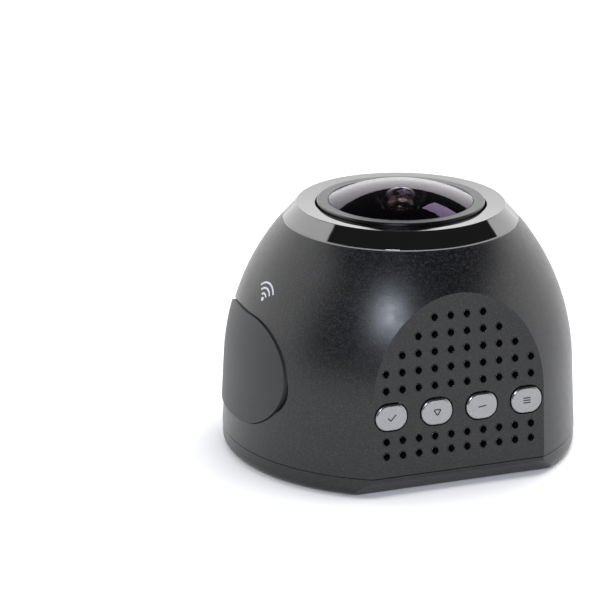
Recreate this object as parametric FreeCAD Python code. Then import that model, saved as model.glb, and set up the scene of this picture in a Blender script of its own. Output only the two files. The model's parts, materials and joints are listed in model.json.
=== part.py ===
import FreeCAD, Part
import math
import os
from FreeCAD import Vector

# A small panoramic dash camera that stands on its base and looks straight up.
# Frame: Z up, origin at the centre of the base on the ground, grille panel towards -Y, port flap on -X.
# All lengths are in millimetres and all angles in degrees.

# ---- Body: a round wall with a little draft, then one large arc up to the lens ring ----
BODY_R = 26.05
BODY_DRAFT = 2.75
BODY_ARC_R = 33.65
RING_SEAT_Z = 34.3
SEAM_Z = 3.0
SEAM_GAP = 0.12
WALL = 1.6
DECK = 1.8
FIT = 0.1
SCREW_FIT = 0.02

# ---- Base plate and foot ----
BASE_STEP = 0.05
BASE_LIFT = 0.2
BASE_FLOOR = 1.6
BASE_ROUND = 1.3
SPIGOT_T = 1.2
SPIGOT_H = 1.4
BEVEL_TOP_Z = 2.4
BEVEL_RUN = 2.3
BEVEL_ROUND = 1.2
FOOT_R = 18.5
FOOT_T = 0.8

# ---- Flat grille panel on the front ----
PANEL_SETBACK = 3.55
PANEL_TILT = 2.9
PANEL_ROW_Z = 15.83
HOLE_R = 0.54
HOLE_PITCH = 2.5
UPPER_ROWS = (10, 10, 8, 6, 4)
LOWER_ROWS_V = (-7.5, -9.69)
LOWER_ROW_HOLES = 10

# ---- Buttons ----
BUTTON_COUNT = 4
BUTTON_PITCH = 7.0
BUTTON_V = -3.88
BUTTON_W = 4.85
BUTTON_H = 3.95
BUTTON_CORNER = 1.9
BUTTON_EDGE = 0.35
BUTTON_PROUD = 0.3
BUTTON_GAP = 0.17
BUTTON_TRAVEL = 0.35
FLANGE_MARGIN = 0.35
FLANGE_CLEAR = 0.2
FLANGE_T = 0.5
FLANGE_GAP = 0.1
PLUNGER_R = 0.8
PLUNGER_L = 1.2
PLUNGER_FIT = 0.05
SWITCH_W = 4.2
SWITCH_H = 3.4
SWITCH_T = 1.6
SWITCH_GAP = 0.5
BUTTON_BOARD_H = 5.0
BUTTON_BOARD_T = 0.8
BUTTON_SCREW_GAP = 0.05
PANEL_BOSS_R = 1.2

# ---- Speaker and microphone behind the panel ----
MESH_T = 0.15
MESH_LOW_V = (-11.0, -6.6)
MESH_HIGH_V = (-1.0, 12.2)
SPEAKER_R = 6.5
SPEAKER_V = 5.6
SPEAKER_CLEAR = 0.1
BASKET_T = 1.6
MAGNET_R = 4.2
MAGNET_T = 1.8
GASKET_T = 0.8
GASKET_W = 0.9
CLAMP_T = 0.8
CLAMP_H = 4.0
SPEAKER_SCREW_U = 9.0
MIC_R = 2.0
MIC_T = 1.5
MIC_U = -8.75
MIC_V = -8.6

# ---- Port flap on the side, its pocket and its hinge ----
FLAP_Y = -2.4
FLAP_Z = 14.8
FLAP_LONG = 9.4
FLAP_HALF_H = 7.8
FLAP_TOP_FLAT = 4.4
FLAP_TOP_R = 24.0
FLAP_SWING_ROOM = 3.5
FLAP_PROUD = 0.3
FLAP_T = 1.5
FLAP_GAP = 0.12
POCKET_GAP = 0.15
POCKET_FLOOR = 1.5
POCKET_RIM = 1.8
NOTCH_R = 4.4
NOTCH_REACH = 0.45
NOTCH_DROP = 0.8
HINGE_ANGLE = 143.0
HINGE_Z = 14.0
HINGE_REAR_GAP = 0.5
KNUCKLE_R = 0.8
KNUCKLE_GAP = 0.15
FLAP_KNUCKLE_L = 6.6
HOUSING_KNUCKLE_L = 1.5
PIN_R = 0.35
PIN_FIT = 0.05

# ---- Trim ring, bezel and glass, radii then levels above the ring seat ----
RING_GAP = 0.22
RING_LAND_W = 2.73
RING_CHAMFER_W = 2.0
RING_LIP_H = 0.2
RING_EDGE = 0.12
RING_TOP_H = 2.36
RING_INNER_H = 2.2
RING_SPIGOT_T = 2.03
RING_SPIGOT_H = 1.4
RING_SCREW_HEAD_R = 1.04
RING_SCREW_GAP = 0.05
RING_SCREW_DEPTH = 0.8
GLASS_R = 10.54
GLASS_RIM_H = 2.6
GLASS_CROWN_H = 5.0
GLASS_EDGE = 0.46
BEZEL_W = 1.71
BEZEL_TOP_H = 2.65
BEZEL_LIP_T = 0.65
BEZEL_SKIRT_T = 0.6
BEZEL_SKIRT_H = 4.45
BEZEL_CHAMFER = 0.15
GLASS_FIT = 0.02
GLASS_FLANGE_T = 2.2
CUP_R = 3.9
CUP_DEPTH = 3.2
SPACER_T = 0.8
SEAL_R = 0.38
SECOND_R = 4.6
SECOND_T = 1.8
SECOND_DOME_R = 3.6
SECOND_DOME_H = 1.8
BARREL_HEAD_H = 5.3
REAR_LENS_R = 4.2
REAR_LENS_GAP = 0.02
THREAD_R = 6.0
CONE_H = 3.0
SHOULDER_R = 3.3
SHOULDER_T = 1.7

# ---- Boards, stacked up from the base ----
BOARD_T = 1.0
MAIN_BOARD_Z = 9.0
MAIN_BOARD_INSET = 6.65
BOARD_FRONT_INSET = 7.0
POST_INSET = 3.3
POST_R = 2.0
POST_ANGLES = (40, 140, 216, 324)
BOARD_SPACING = 5.0
SENSOR_BOARD_R = 14.6
SPACER_X = 8.6
SPACER_Y = 9.2
SPACER_R = 1.6
BOSS_INSET = 3.8
BOSS_R = 2.2
BOSS_H = 7.7
BOSS_ANGLES = (35, 145, 215, 325)
SCREW_R = 0.7
SCREW_HEAD_R = 1.3
SCREW_HEAD_T = 0.7

# ---- Sockets, card and reset switch behind the flap ----
USB_W = 7.5
USB_H = 2.6
USB_L = 5.2
USB_SHELL = 0.3
USB_SINK = 0.6
CARD_L = 15.0
CARD_W = 11.0
CARD_T = 0.8
CARD_SINK = 2.1
CARD_PUSH = 0.8
CARD_SOCKET_W = 14.0
CARD_SOCKET_H = 1.9
CARD_STAND_OUT = 3.2
CARD_FIT = 0.1
PORT_CLEAR = 0.35
RESET_Y = -8.9
RESET_SIZE = 2.4
RESET_INSET = 4.6
RESET_ROD_R = 0.55
RESET_ROD_L = 3.4
RESET_TRAVEL = 0.25

# ---- Worked out from the sizes above ----
FAR = 60.0
UP = Vector(0, 0, 1)
TILT_TAN = math.tan(math.radians(PANEL_TILT))
DRAFT_TAN = math.tan(math.radians(BODY_DRAFT))
BASE_FLOOR_Z = BASE_LIFT + BASE_FLOOR
MAIN_TOP_Z = MAIN_BOARD_Z + BOARD_T
MAIN_BOARD_R = BODY_R - MAIN_BOARD_INSET
RESET_BACK_X = RESET_INSET - MAIN_BOARD_R
SENSOR_BOARD_Z = MAIN_TOP_Z + BOARD_SPACING
SENSOR_TOP_Z = SENSOR_BOARD_Z + BOARD_T
POCKET_DEPTH = FLAP_T - FLAP_PROUD + POCKET_GAP
GLASS_FLANGE_R = GLASS_R + GLASS_EDGE
BEZEL_R = GLASS_R + BEZEL_W
RING_INNER_R = BEZEL_R + RING_GAP
RING_SPIGOT_R = RING_INNER_R + RING_SPIGOT_T
RING_TOP_R = RING_INNER_R + RING_LAND_W
RING_R = RING_TOP_R + RING_CHAMFER_W
LIP_Z = RING_SEAT_Z + BEZEL_TOP_H - BEZEL_LIP_T
GLASS_SEAT_Z = LIP_Z - GLASS_FIT - GLASS_FLANGE_T
SPACER_Z = GLASS_SEAT_Z - SPACER_T
BARREL_LOW_Z = SENSOR_TOP_Z + 2.5
SHOULDER_Z = SPACER_Z - SECOND_T - SHOULDER_T
USB_Z = SENSOR_TOP_Z + USB_H / 2
CARD_Z = MAIN_TOP_Z + CARD_SOCKET_H / 2
RESET_Z = MAIN_TOP_Z + 1.0
BUTTON_END_U = (BUTTON_COUNT - 1) / 2 * BUTTON_PITCH + BUTTON_W / 2
BUTTON_SCREW_U = BUTTON_END_U + FLANGE_MARGIN + FLANGE_CLEAR + BUTTON_SCREW_GAP + PANEL_BOSS_R


# ---------------------------------------------------------------- helpers

def turned(*steps):
    """Solid of revolution about Z. A step is (r, z), or (r, z, mid_r, mid_z) for an arc to r, z."""
    points = [Vector(step[0], 0, step[1]) for step in steps]
    edges = []
    for index, step in enumerate(steps):
        start = points[index - 1]
        end = points[index]
        if len(step) == 4:
            middle = Vector(step[2], 0, step[3])
            edges.append(Part.Arc(start, middle, end).toShape())
        elif start.distanceToPoint(end) > 1e-6:
            edges.append(Part.LineSegment(start, end).toShape())
    return Part.Face(Part.Wire(edges)).revolve(Vector(0, 0, 0), UP, 360)


def soft_corner(before, corner, after, radius):
    """Two steps for turned() that round a corner of the profile, given its neighbours."""
    point = Vector(corner[0], corner[1], 0)
    back = Vector(before[0], before[1], 0).sub(point).normalize()
    ahead = Vector(after[0], after[1], 0).sub(point).normalize()
    half = back.getAngle(ahead) / 2
    start = point.add(back * (radius / math.tan(half)))
    end = point.add(ahead * (radius / math.tan(half)))
    inward = back.add(ahead).normalize()
    middle = point.add(inward * (radius / math.sin(half) - radius))
    return [(start.x, start.y), (end.x, end.y, middle.x, middle.y)]


def block(x_range, y_range, z_range):
    """Box between two values on each axis."""
    low = Vector(x_range[0], y_range[0], z_range[0])
    size = Vector(x_range[1], y_range[1], z_range[1]).sub(low)
    return Part.makeBox(size.x, size.y, size.z, low)


def rod(radius, low, high, x=0.0, y=0.0):
    """Upright cylinder."""
    return Part.makeCylinder(radius, high - low, Vector(x, y, low))


def side_rod(radius, x_low, x_high, y, z):
    """Cylinder along X."""
    return Part.makeCylinder(radius, x_high - x_low, Vector(x_low, y, z), Vector(1, 0, 0))


def rounded_slab(width, height, corner, low, high, u=0.0, v=0.0):
    """Upright prism with a rounded rectangle as its outline, centred on u, v."""
    slab = block((u - width / 2, u + width / 2), (v - height / 2, v + height / 2), (low, high))
    upright = [edge for edge in slab.Edges if abs(edge.tangentAt(edge.FirstParameter).z) > 0.99]
    return slab.makeFillet(corner, upright)


def fused(first, *others):
    """Union of the shapes, without the seams between faces that lie in one surface."""
    return first.multiFuse(list(others)).removeSplitter()


def cut_all(shape, tools):
    """The shape with every tool taken away."""
    return shape.cut(Part.makeCompound(tools))


def screw(shank_r, head_r, head_t, length, recess_r):
    """Screw with its head on top, the underside of the head at the origin, and a cross recess."""
    body = fused(rod(shank_r, -length, 0), rod(head_r, 0, head_t))
    arm = recess_r / 3
    cross = block((-recess_r, recess_r), (-arm / 2, arm / 2), (head_t / 2, head_t))
    turned_cross = block((-arm / 2, arm / 2), (-recess_r, recess_r), (head_t / 2, head_t))
    return body.cut(cross).cut(turned_cross)


def on_circle(radius, angle):
    """Point at a radius and an angle from +X."""
    turn = math.radians(angle)
    return radius * math.cos(turn), radius * math.sin(turn)


def placed(shape, position, rotation=None):
    """Copy of a shape at a position, turned if a rotation is given."""
    copy = shape.copy()
    copy.Placement = FreeCAD.Placement(position, rotation or FreeCAD.Rotation())
    return copy


# ---------------------------------------------------------------- body surfaces

def body_arc_centre():
    """Radius and level of the centre of the arc that meets the drafted wall and passes the ring seat."""
    lean = RING_R - BODY_R + BODY_ARC_R / math.cos(math.radians(BODY_DRAFT)) - SEAM_Z * DRAFT_TAN
    square = 1 + DRAFT_TAN ** 2
    linear = 2 * (lean * DRAFT_TAN - RING_SEAT_Z)
    constant = lean ** 2 + RING_SEAT_Z ** 2 - BODY_ARC_R ** 2
    level = (-linear - math.sqrt(linear ** 2 - 4 * square * constant)) / (2 * square)
    radius = BODY_R - (level - SEAM_Z) * DRAFT_TAN - BODY_ARC_R / math.cos(math.radians(BODY_DRAFT))
    return radius, level


ARC_CENTRE_R, ARC_CENTRE_Z = body_arc_centre()


def body_r(level, offset=0.0):
    """Radius of the outer wall at a level, with the wall moved outward by offset."""
    arc = BODY_ARC_R + offset
    draft = math.radians(BODY_DRAFT)
    meet_z = ARC_CENTRE_Z + arc * math.sin(draft)
    if level < meet_z:
        return ARC_CENTRE_R + arc * math.cos(draft) + (meet_z - level) * DRAFT_TAN
    return ARC_CENTRE_R + math.sqrt(arc ** 2 - (level - ARC_CENTRE_Z) ** 2)


def panel_y():
    """Y of the panel's plane at the ground: set back from the wall, or more where the speaker needs it."""
    speaker_z = PANEL_ROW_Z + (SPEAKER_V + SPEAKER_R) * math.cos(math.radians(PANEL_TILT))
    room = body_r(speaker_z, -WALL) - SPEAKER_CLEAR
    return max(PANEL_SETBACK - BODY_R, -room - WALL - MESH_T - speaker_z * TILT_TAN)


PANEL_Y = panel_y()


def panel_frame():
    """Placement whose X and Y lie in the grille panel and whose Z points out of it."""
    level = PANEL_ROW_Z
    depth = PANEL_Y + level * TILT_TAN
    turn = FreeCAD.Rotation(Vector(1, 0, 0), 90 - PANEL_TILT)
    return FreeCAD.Placement(Vector(0, depth, level), turn)


def on_panel(shape):
    """A shape drawn flat, moved onto the grille panel."""
    copy = shape.copy()
    copy.Placement = panel_frame()
    return copy


def envelope(offset, top_z=RING_SEAT_Z):
    """Body form moved outward by offset, from the ground to top_z, with its flat front."""
    draft = math.radians(BODY_DRAFT)
    arc = BODY_ARC_R + offset
    meet_r = ARC_CENTRE_R + arc * math.cos(draft)
    meet_z = ARC_CENTRE_Z + arc * math.sin(draft)
    middle_z = (meet_z + top_z) / 2
    form = turned(
        (0, 0),
        (body_r(0, offset), 0),
        (meet_r, meet_z),
        (body_r(top_z, offset), top_z, body_r(middle_z, offset), middle_z),
        (0, top_z),
    )
    front = block((-FAR, FAR), (-FAR, FAR), (offset, FAR))
    return form.cut(on_panel(front))


def hinge_frame():
    """Placement on the flap's hinge: Z up along the pin, X outward, Y towards the front of the flap."""
    half = FLAP_KNUCKLE_L / 2 + KNUCKLE_GAP + HOUSING_KNUCKLE_L
    low_r = body_r(HINGE_Z - half)
    high_r = body_r(HINGE_Z + half)
    out = Vector(math.cos(math.radians(HINGE_ANGLE)), math.sin(math.radians(HINGE_ANGLE)), 0)
    along = (out * ((high_r - low_r) / 2) + UP * half).normalize()
    forward = along.cross(out).normalize()
    outward = forward.cross(along)
    origin = out * ((low_r + high_r) / 2) + UP * HINGE_Z
    matrix = FreeCAD.Matrix(
        outward.x, forward.x, along.x, origin.x,
        outward.y, forward.y, along.y, origin.y,
        outward.z, forward.z, along.z, origin.z,
        0, 0, 0, 1,
    )
    return FreeCAD.Placement(matrix)


def on_hinge(shape):
    """A shape drawn about the Z axis, moved onto the flap's hinge."""
    copy = shape.copy()
    copy.Placement = hinge_frame()
    return copy


def flap_prism(margin, top_r=FLAP_TOP_R):
    """Flap outline, run through the left wall: half an ellipse in front, a top that arches down behind."""
    long_r = FLAP_LONG + margin
    high_r = FLAP_HALF_H + margin
    centre = Vector(-FAR, FLAP_Y, FLAP_Z)
    ellipse = Part.Ellipse(centre.sub(Vector(0, long_r, 0)), centre.add(Vector(0, 0, high_r)), centre)
    nose = Part.ArcOfEllipse(ellipse, -math.pi / 2, math.pi / 2).toShape()
    low = centre.sub(Vector(0, 0, high_r))
    high = centre.add(Vector(0, 0, high_r))
    crest = high.add(Vector(0, FLAP_TOP_FLAT, 0))
    mid, end = (
        crest.add(Vector(0, top_r * math.sin(turn), top_r * (math.cos(turn) - 1)))
        for turn in (math.radians(25), math.radians(50))
    )
    heel = Vector(end.x, end.y, low.z)
    arch = Part.Arc(crest, mid, end).toShape()
    sides = [Part.makeLine(high, crest), arch, Part.makeLine(end, heel), Part.makeLine(heel, low)]
    face = Part.Face(Part.Wire(Part.__sortEdges__([nose] + sides)))
    return face.extrude(Vector(FAR - 8, 0, 0))


def behind_hinge(limit):
    """Everything further to the rear of the hinge pin than limit."""
    return on_hinge(block((-FAR, FAR), (-FAR, -limit), (-FAR, FAR)))


# ---------------------------------------------------------------- housing

def grille_holes():
    """Round holes through the panel: a trapezium of rows above the buttons and two rows below."""
    rows = [(count, index * HOLE_PITCH) for index, count in enumerate(UPPER_ROWS)]
    rows += [(LOWER_ROW_HOLES, v) for v in LOWER_ROWS_V]
    holes = []
    for count, v in rows:
        for index in range(count):
            u = (index - (count - 1) / 2) * HOLE_PITCH
            holes.append(on_panel(rod(HOLE_R, -WALL - 1, 1, u, v)))
    return holes


def button_u(index):
    """Place of a button along the panel."""
    return (index - (BUTTON_COUNT - 1) / 2) * BUTTON_PITCH


def button_openings():
    """Rounded openings that the button caps stand in."""
    width = BUTTON_W + 2 * BUTTON_GAP
    height = BUTTON_H + 2 * BUTTON_GAP
    corner = BUTTON_CORNER + BUTTON_GAP
    return [
        on_panel(rounded_slab(width, height, corner, -WALL - 1, 1, button_u(index), BUTTON_V))
        for index in range(BUTTON_COUNT)
    ]


def flange_reliefs():
    """Room behind the wall for each button's flange over its travel."""
    width = BUTTON_W + 2 * (FLANGE_MARGIN + FLANGE_CLEAR)
    height = BUTTON_H + 2 * (FLANGE_MARGIN + FLANGE_CLEAR)
    back = -WALL - FLANGE_GAP - FLANGE_T - BUTTON_TRAVEL - FLANGE_CLEAR
    corner = BUTTON_CORNER + FLANGE_CLEAR
    return [
        on_panel(rounded_slab(width, height, corner, back, -WALL, button_u(index), BUTTON_V))
        for index in range(BUTTON_COUNT)
    ]


def pocket():
    """Space for the flap in the wall, with the finger notch at its front and room for its knuckle."""
    notch_y = FLAP_Y - FLAP_LONG - NOTCH_REACH + NOTCH_R
    notch = side_rod(NOTCH_R, -FAR, -8, notch_y, FLAP_Z - NOTCH_DROP)
    opening = flap_prism(FLAP_GAP, FLAP_TOP_R + FLAP_SWING_ROOM).fuse(notch)
    opening = opening.cut(behind_hinge(HINGE_REAR_GAP))
    half = FLAP_KNUCKLE_L / 2 + KNUCKLE_GAP + HOUSING_KNUCKLE_L
    opening = opening.fuse(on_hinge(rod(KNUCKLE_R + KNUCKLE_GAP, -half, half)))
    return opening.cut(envelope(-POCKET_DEPTH))


def port_openings():
    """Holes in the pocket floor for the socket, the card and the reset switch."""
    inner_x = -MAIN_BOARD_R + 1
    usb_half = USB_W / 2 + PORT_CLEAR
    usb_high = USB_H / 2 + PORT_CLEAR
    card_half = CARD_W / 2 + PORT_CLEAR
    card_high = CARD_T / 2 + PORT_CLEAR
    return [
        block((-FAR, inner_x), (-usb_half, usb_half), (USB_Z - usb_high, USB_Z + usb_high)),
        block((-FAR, inner_x), (-card_half, card_half), (CARD_Z - card_high, CARD_Z + card_high)),
        side_rod(RESET_ROD_R + FIT, -FAR, inner_x, RESET_Y, RESET_Z),
    ]


def boss_points():
    """Places of the housing's screw bosses."""
    return [on_circle(BODY_R - BOSS_INSET, angle) for angle in BOSS_ANGLES]


def housing_bosses():
    """Columns for the base screws, each with a web to the wall."""
    web_low = SEAM_Z + SPIGOT_H + 0.3
    shapes = []
    for angle, (x, y) in zip(BOSS_ANGLES, boss_points()):
        shapes.append(rod(BOSS_R, BASE_FLOOR_Z, BASE_FLOOR_Z + BOSS_H, x, y))
        web = block((0, BOSS_INSET), (-BOSS_R / 2, BOSS_R / 2), (web_low, BASE_FLOOR_Z + BOSS_H))
        shapes.append(placed(web, Vector(x, y, 0), FreeCAD.Rotation(UP, angle)))
    return shapes


def panel_bosses():
    """Columns on the back of the panel for the button board and the speaker clamp."""
    board_n = switch_back_n()
    clamp_n = speaker_back_n()
    columns = []
    for side in (-1, 1):
        columns.append(on_panel(rod(PANEL_BOSS_R, board_n, -WALL / 2, side * BUTTON_SCREW_U, BUTTON_V)))
        columns.append(on_panel(rod(PANEL_BOSS_R, clamp_n, -WALL / 2, side * SPEAKER_SCREW_U, SPEAKER_V)))
    return columns


def panel_pilots():
    """Pilot holes in the panel's columns."""
    holes = []
    for side in (-1, 1):
        board_u = side * BUTTON_SCREW_U
        clamp_u = side * SPEAKER_SCREW_U
        pilot_r = SCREW_R + SCREW_FIT
        holes.append(on_panel(rod(pilot_r, switch_back_n() - 1, -WALL, board_u, BUTTON_V)))
        holes.append(on_panel(rod(pilot_r, speaker_back_n() - 1, -WALL, clamp_u, SPEAKER_V)))
    return holes


def housing_knuckles():
    """The two knuckles that hold the ends of the hinge pin."""
    near = FLAP_KNUCKLE_L / 2 + KNUCKLE_GAP
    far = near + HOUSING_KNUCKLE_L
    return [on_hinge(rod(KNUCKLE_R, near, far)), on_hinge(rod(KNUCKLE_R, -far, -near))]


def dome_housing():
    """Outer shell with its deck, panel, pocket, bosses and openings."""
    skin = envelope(0)
    shell = skin.cut(envelope(-WALL, RING_SEAT_Z - DECK))
    shell = shell.cut(rod(RING_SPIGOT_R + FIT, RING_SEAT_Z - DECK - 1, FAR))
    rim = flap_prism(POCKET_RIM).common(envelope(-WALL / 2)).cut(envelope(-POCKET_DEPTH - POCKET_FLOOR))
    rim = rim.cut(behind_hinge(POCKET_RIM))
    shell = shell.fuse(rim)
    shell = shell.cut(rod(FAR, -1, SEAM_Z + SEAM_GAP / 2))
    limit = envelope(-WALL / 2)
    inside = [column.common(limit) for column in housing_bosses() + panel_bosses()]
    shell = shell.multiFuse(inside)
    shell = shell.cut(pocket())
    near = FLAP_KNUCKLE_L / 2 + KNUCKLE_GAP
    shell = shell.multiFuse(housing_knuckles())
    pin_l = near + HOUSING_KNUCKLE_L - 0.3
    tools = grille_holes() + button_openings() + flange_reliefs() + port_openings() + panel_pilots()
    tools.append(on_hinge(rod(PIN_R + SCREW_FIT, -pin_l, pin_l)))
    for x, y in boss_points():
        tools.append(rod(SCREW_R + SCREW_FIT, -1, BASE_FLOOR_Z + BOSS_H - 1.2, x, y))
    for x, y in ring_screw_points():
        tools.append(rod(SCREW_R + SCREW_FIT, RING_SEAT_Z - DECK - 1, FAR, x, y))
    return cut_all(shell, tools).removeSplitter()


# ---------------------------------------------------------------- base

def base_outer():
    """Base plate's outer form: round side, rounded lower edge and a bevel under the grille panel."""
    side_r = body_r(SEAM_Z) - BASE_STEP
    low_r = side_r - BASE_ROUND
    corner = BASE_ROUND * math.sin(math.radians(45))
    top_z = SEAM_Z + SPIGOT_H
    form = turned(
        (0, BASE_LIFT),
        (low_r, BASE_LIFT),
        (side_r, BASE_LIFT + BASE_ROUND, low_r + corner, BASE_LIFT + BASE_ROUND - corner),
        (side_r, top_z),
        (0, top_z),
    )
    top = Vector(0, PANEL_Y + top_z * TILT_TAN, top_z)
    corner_point = Vector(0, PANEL_Y + BEVEL_TOP_Z * TILT_TAN, BEVEL_TOP_Z)
    foot = Vector(0, corner_point.y + BEVEL_RUN, BASE_LIFT)
    upward = top.sub(corner_point).normalize()
    inward = foot.sub(corner_point).normalize()
    half_turn = upward.getAngle(inward) / 2
    reach = BEVEL_ROUND / math.tan(half_turn)
    start = corner_point.add(upward * reach)
    end = corner_point.add(inward * reach)
    bisector = upward.add(inward).normalize()
    middle = corner_point.add(bisector * (BEVEL_ROUND / math.sin(half_turn) - BEVEL_ROUND))
    beyond = Vector(0, -FAR, 0)
    past = foot.add(inward)
    edges = [
        Part.LineSegment(top, start).toShape(),
        Part.Arc(start, middle, end).toShape(),
        Part.LineSegment(end, past).toShape(),
        Part.LineSegment(past, past.add(beyond)).toShape(),
        Part.LineSegment(past.add(beyond), top.add(beyond)).toShape(),
        Part.LineSegment(top.add(beyond), top).toShape(),
    ]
    section = Part.Face(Part.Wire(edges))
    section.translate(Vector(-FAR, 0, 0))
    return form.cut(section.extrude(Vector(2 * FAR, 0, 0)))


def post_points():
    """Places of the base plate's posts under the main board."""
    return [on_circle(MAIN_BOARD_R - POST_INSET, angle) for angle in POST_ANGLES]


def base_plate():
    """Bottom closure with its spigot, posts, foot recess and screw holes."""
    outer = base_outer()
    seam_low = SEAM_Z - SEAM_GAP / 2
    above_seam = block((-FAR, FAR), (-FAR, FAR), (seam_low, FAR))
    spigot = outer.common(above_seam).common(envelope(-WALL - FIT))
    plate = outer.cut(above_seam).fuse(spigot)
    hollow = envelope(-WALL - FIT - SPIGOT_T).cut(rod(FAR, -1, BASE_FLOOR_Z))
    plate = plate.cut(hollow)
    plate = plate.cut(rod(FOOT_R + FIT, -1, FOOT_T))
    room = [rod(BOSS_R + 2 * FIT, BASE_FLOOR_Z, FAR, x, y) for x, y in boss_points()]
    plate = cut_all(plate, room)
    posts = [rod(POST_R, BASE_FLOOR_Z - 0.5, MAIN_BOARD_Z, x, y) for x, y in post_points()]
    plate = plate.multiFuse(posts)
    holes = []
    for x, y in post_points():
        holes.append(rod(SCREW_R + SCREW_FIT, BASE_FLOOR_Z + 1, MAIN_BOARD_Z + 1, x, y))
    for x, y in boss_points():
        holes.append(rod(SCREW_R + FIT, -1, FAR, x, y))
        holes.append(rod(SCREW_HEAD_R + 2 * FIT, -1, BASE_LIFT + SCREW_HEAD_T + 0.2, x, y))
    return cut_all(plate, holes).removeSplitter()


def foot_pad():
    """Adhesive foam disc that the camera stands on."""
    return turned((0, 0), (FOOT_R - 0.2, 0), (FOOT_R, 0.2), (FOOT_R, FOOT_T), (0, FOOT_T))


def base_screws():
    """Four screws, heads down, from the base plate into the housing."""
    seat = BASE_LIFT + SCREW_HEAD_T + 0.2
    length = BASE_FLOOR_Z + BOSS_H - 2.0 - seat
    one = screw(SCREW_R, SCREW_HEAD_R, SCREW_HEAD_T, length, SCREW_HEAD_R * 0.7)
    flip = FreeCAD.Rotation(Vector(1, 0, 0), 180)
    return Part.makeCompound([placed(one, Vector(x, y, seat), flip) for x, y in boss_points()])


# ---------------------------------------------------------------- ring, bezel and lens stack

def ring_screw_points():
    """Places of the screws that pull the trim ring down, with their heads just inside the wall."""
    radius = body_r(RING_SEAT_Z - DECK, -WALL) - RING_SCREW_HEAD_R - RING_SCREW_GAP
    return [on_circle(radius, angle) for angle in (90, 210, 330)]


def trim_ring():
    """Bevelled ring with a thin lip at the housing and a spigot in its opening."""
    seat = RING_SEAT_Z
    inner_low = seat - RING_SPIGOT_H
    foot = (RING_R, seat)
    lip = (RING_R, seat + RING_LIP_H)
    crest = (RING_TOP_R, seat + RING_TOP_H)
    brim = (RING_INNER_R, seat + RING_INNER_H)
    ring = turned(
        foot,
        *soft_corner(foot, lip, crest, RING_EDGE),
        *soft_corner(lip, crest, brim, RING_EDGE),
        *soft_corner(crest, brim, (RING_INNER_R, inner_low), RING_EDGE),
        (RING_INNER_R, inner_low),
        (RING_SPIGOT_R, inner_low),
        (RING_SPIGOT_R, seat),
    )
    blind = [
        rod(SCREW_R + SCREW_FIT, seat - RING_SPIGOT_H, seat + RING_SCREW_DEPTH, x, y)
        for x, y in ring_screw_points()
    ]
    return cut_all(ring, blind)


def ring_screws():
    """Three screws from under the deck into the trim ring."""
    one = screw(SCREW_R, RING_SCREW_HEAD_R, SCREW_HEAD_T, DECK + RING_SCREW_DEPTH - 0.1, SCREW_HEAD_R * 0.6)
    flip = FreeCAD.Rotation(Vector(1, 0, 0), 180)
    under = RING_SEAT_Z - DECK
    return Part.makeCompound([placed(one, Vector(x, y, under), flip) for x, y in ring_screw_points()])


def lens_bezel():
    """Satin ring screwed over the barrel, with a lip on the edge of the glass."""
    top = RING_SEAT_Z + BEZEL_TOP_H
    skirt_r = BEZEL_R - BEZEL_SKIRT_T
    low = top - BEZEL_SKIRT_H
    return turned(
        (GLASS_R, LIP_Z),
        (GLASS_R, top - BEZEL_CHAMFER),
        (GLASS_R + BEZEL_CHAMFER, top),
        (BEZEL_R - BEZEL_CHAMFER, top),
        (BEZEL_R, top - BEZEL_CHAMFER),
        (BEZEL_R, low),
        (skirt_r, low),
        (skirt_r, LIP_Z),
    )


def cap_middle(rim_r, height):
    """Half-way point of a spherical cap's section: its radius, and its height above the rim."""
    sphere_r = (rim_r ** 2 + height ** 2) / (2 * height)
    return rim_r / 2, height - sphere_r + math.sqrt(sphere_r ** 2 - (rim_r / 2) ** 2)


def front_lens():
    """Large domed glass with a deep cup in its underside."""
    edge_r = GLASS_R - GLASS_FIT
    rim_z = RING_SEAT_Z + GLASS_RIM_H
    crown = RING_SEAT_Z + GLASS_CROWN_H
    crown_r, crown_rise = cap_middle(edge_r, GLASS_CROWN_H - GLASS_RIM_H)
    cup_r, cup_rise = cap_middle(CUP_R, CUP_DEPTH)
    return turned(
        (0, GLASS_SEAT_Z + CUP_DEPTH),
        (CUP_R, GLASS_SEAT_Z, cup_r, GLASS_SEAT_Z + cup_rise),
        (GLASS_FLANGE_R, GLASS_SEAT_Z),
        (GLASS_FLANGE_R, LIP_Z - GLASS_FIT),
        (edge_r, LIP_Z - GLASS_FIT),
        (edge_r, rim_z),
        (0, crown, crown_r, rim_z + crown_rise),
    )


def lens_spacer():
    """Black ring under the front glass that holds the second element down."""
    outer = GLASS_FLANGE_R - 2 * SEAL_R - 4 * GLASS_FIT
    return turned(
        (SECOND_DOME_R + FIT, SPACER_Z),
        (outer, SPACER_Z),
        (outer, GLASS_SEAT_Z),
        (SECOND_DOME_R + 3 * FIT, GLASS_SEAT_Z),
    )


def lens_seal():
    """O-ring between the front glass and the barrel."""
    centre_r = GLASS_FLANGE_R - SEAL_R - GLASS_FIT
    return Part.makeTorus(centre_r, SEAL_R, Vector(0, 0, GLASS_SEAT_Z - SPACER_T / 2))


def second_lens():
    """Second element, a small steep dome with a flange."""
    middle_r, rise = cap_middle(SECOND_DOME_R, SECOND_DOME_H)
    low = SPACER_Z - SECOND_T
    hollow_r, hollow_rise = cap_middle(SHOULDER_R - 0.3, 1.0)
    return turned(
        (0, low + 1.0),
        (SHOULDER_R - 0.3, low, hollow_r, low + hollow_rise),
        (SECOND_R, low),
        (SECOND_R, SPACER_Z - GLASS_FIT),
        (SECOND_DOME_R, SPACER_Z - GLASS_FIT),
        (0, SPACER_Z - GLASS_FIT + SECOND_DOME_H, middle_r, SPACER_Z - GLASS_FIT + rise),
    )


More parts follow.
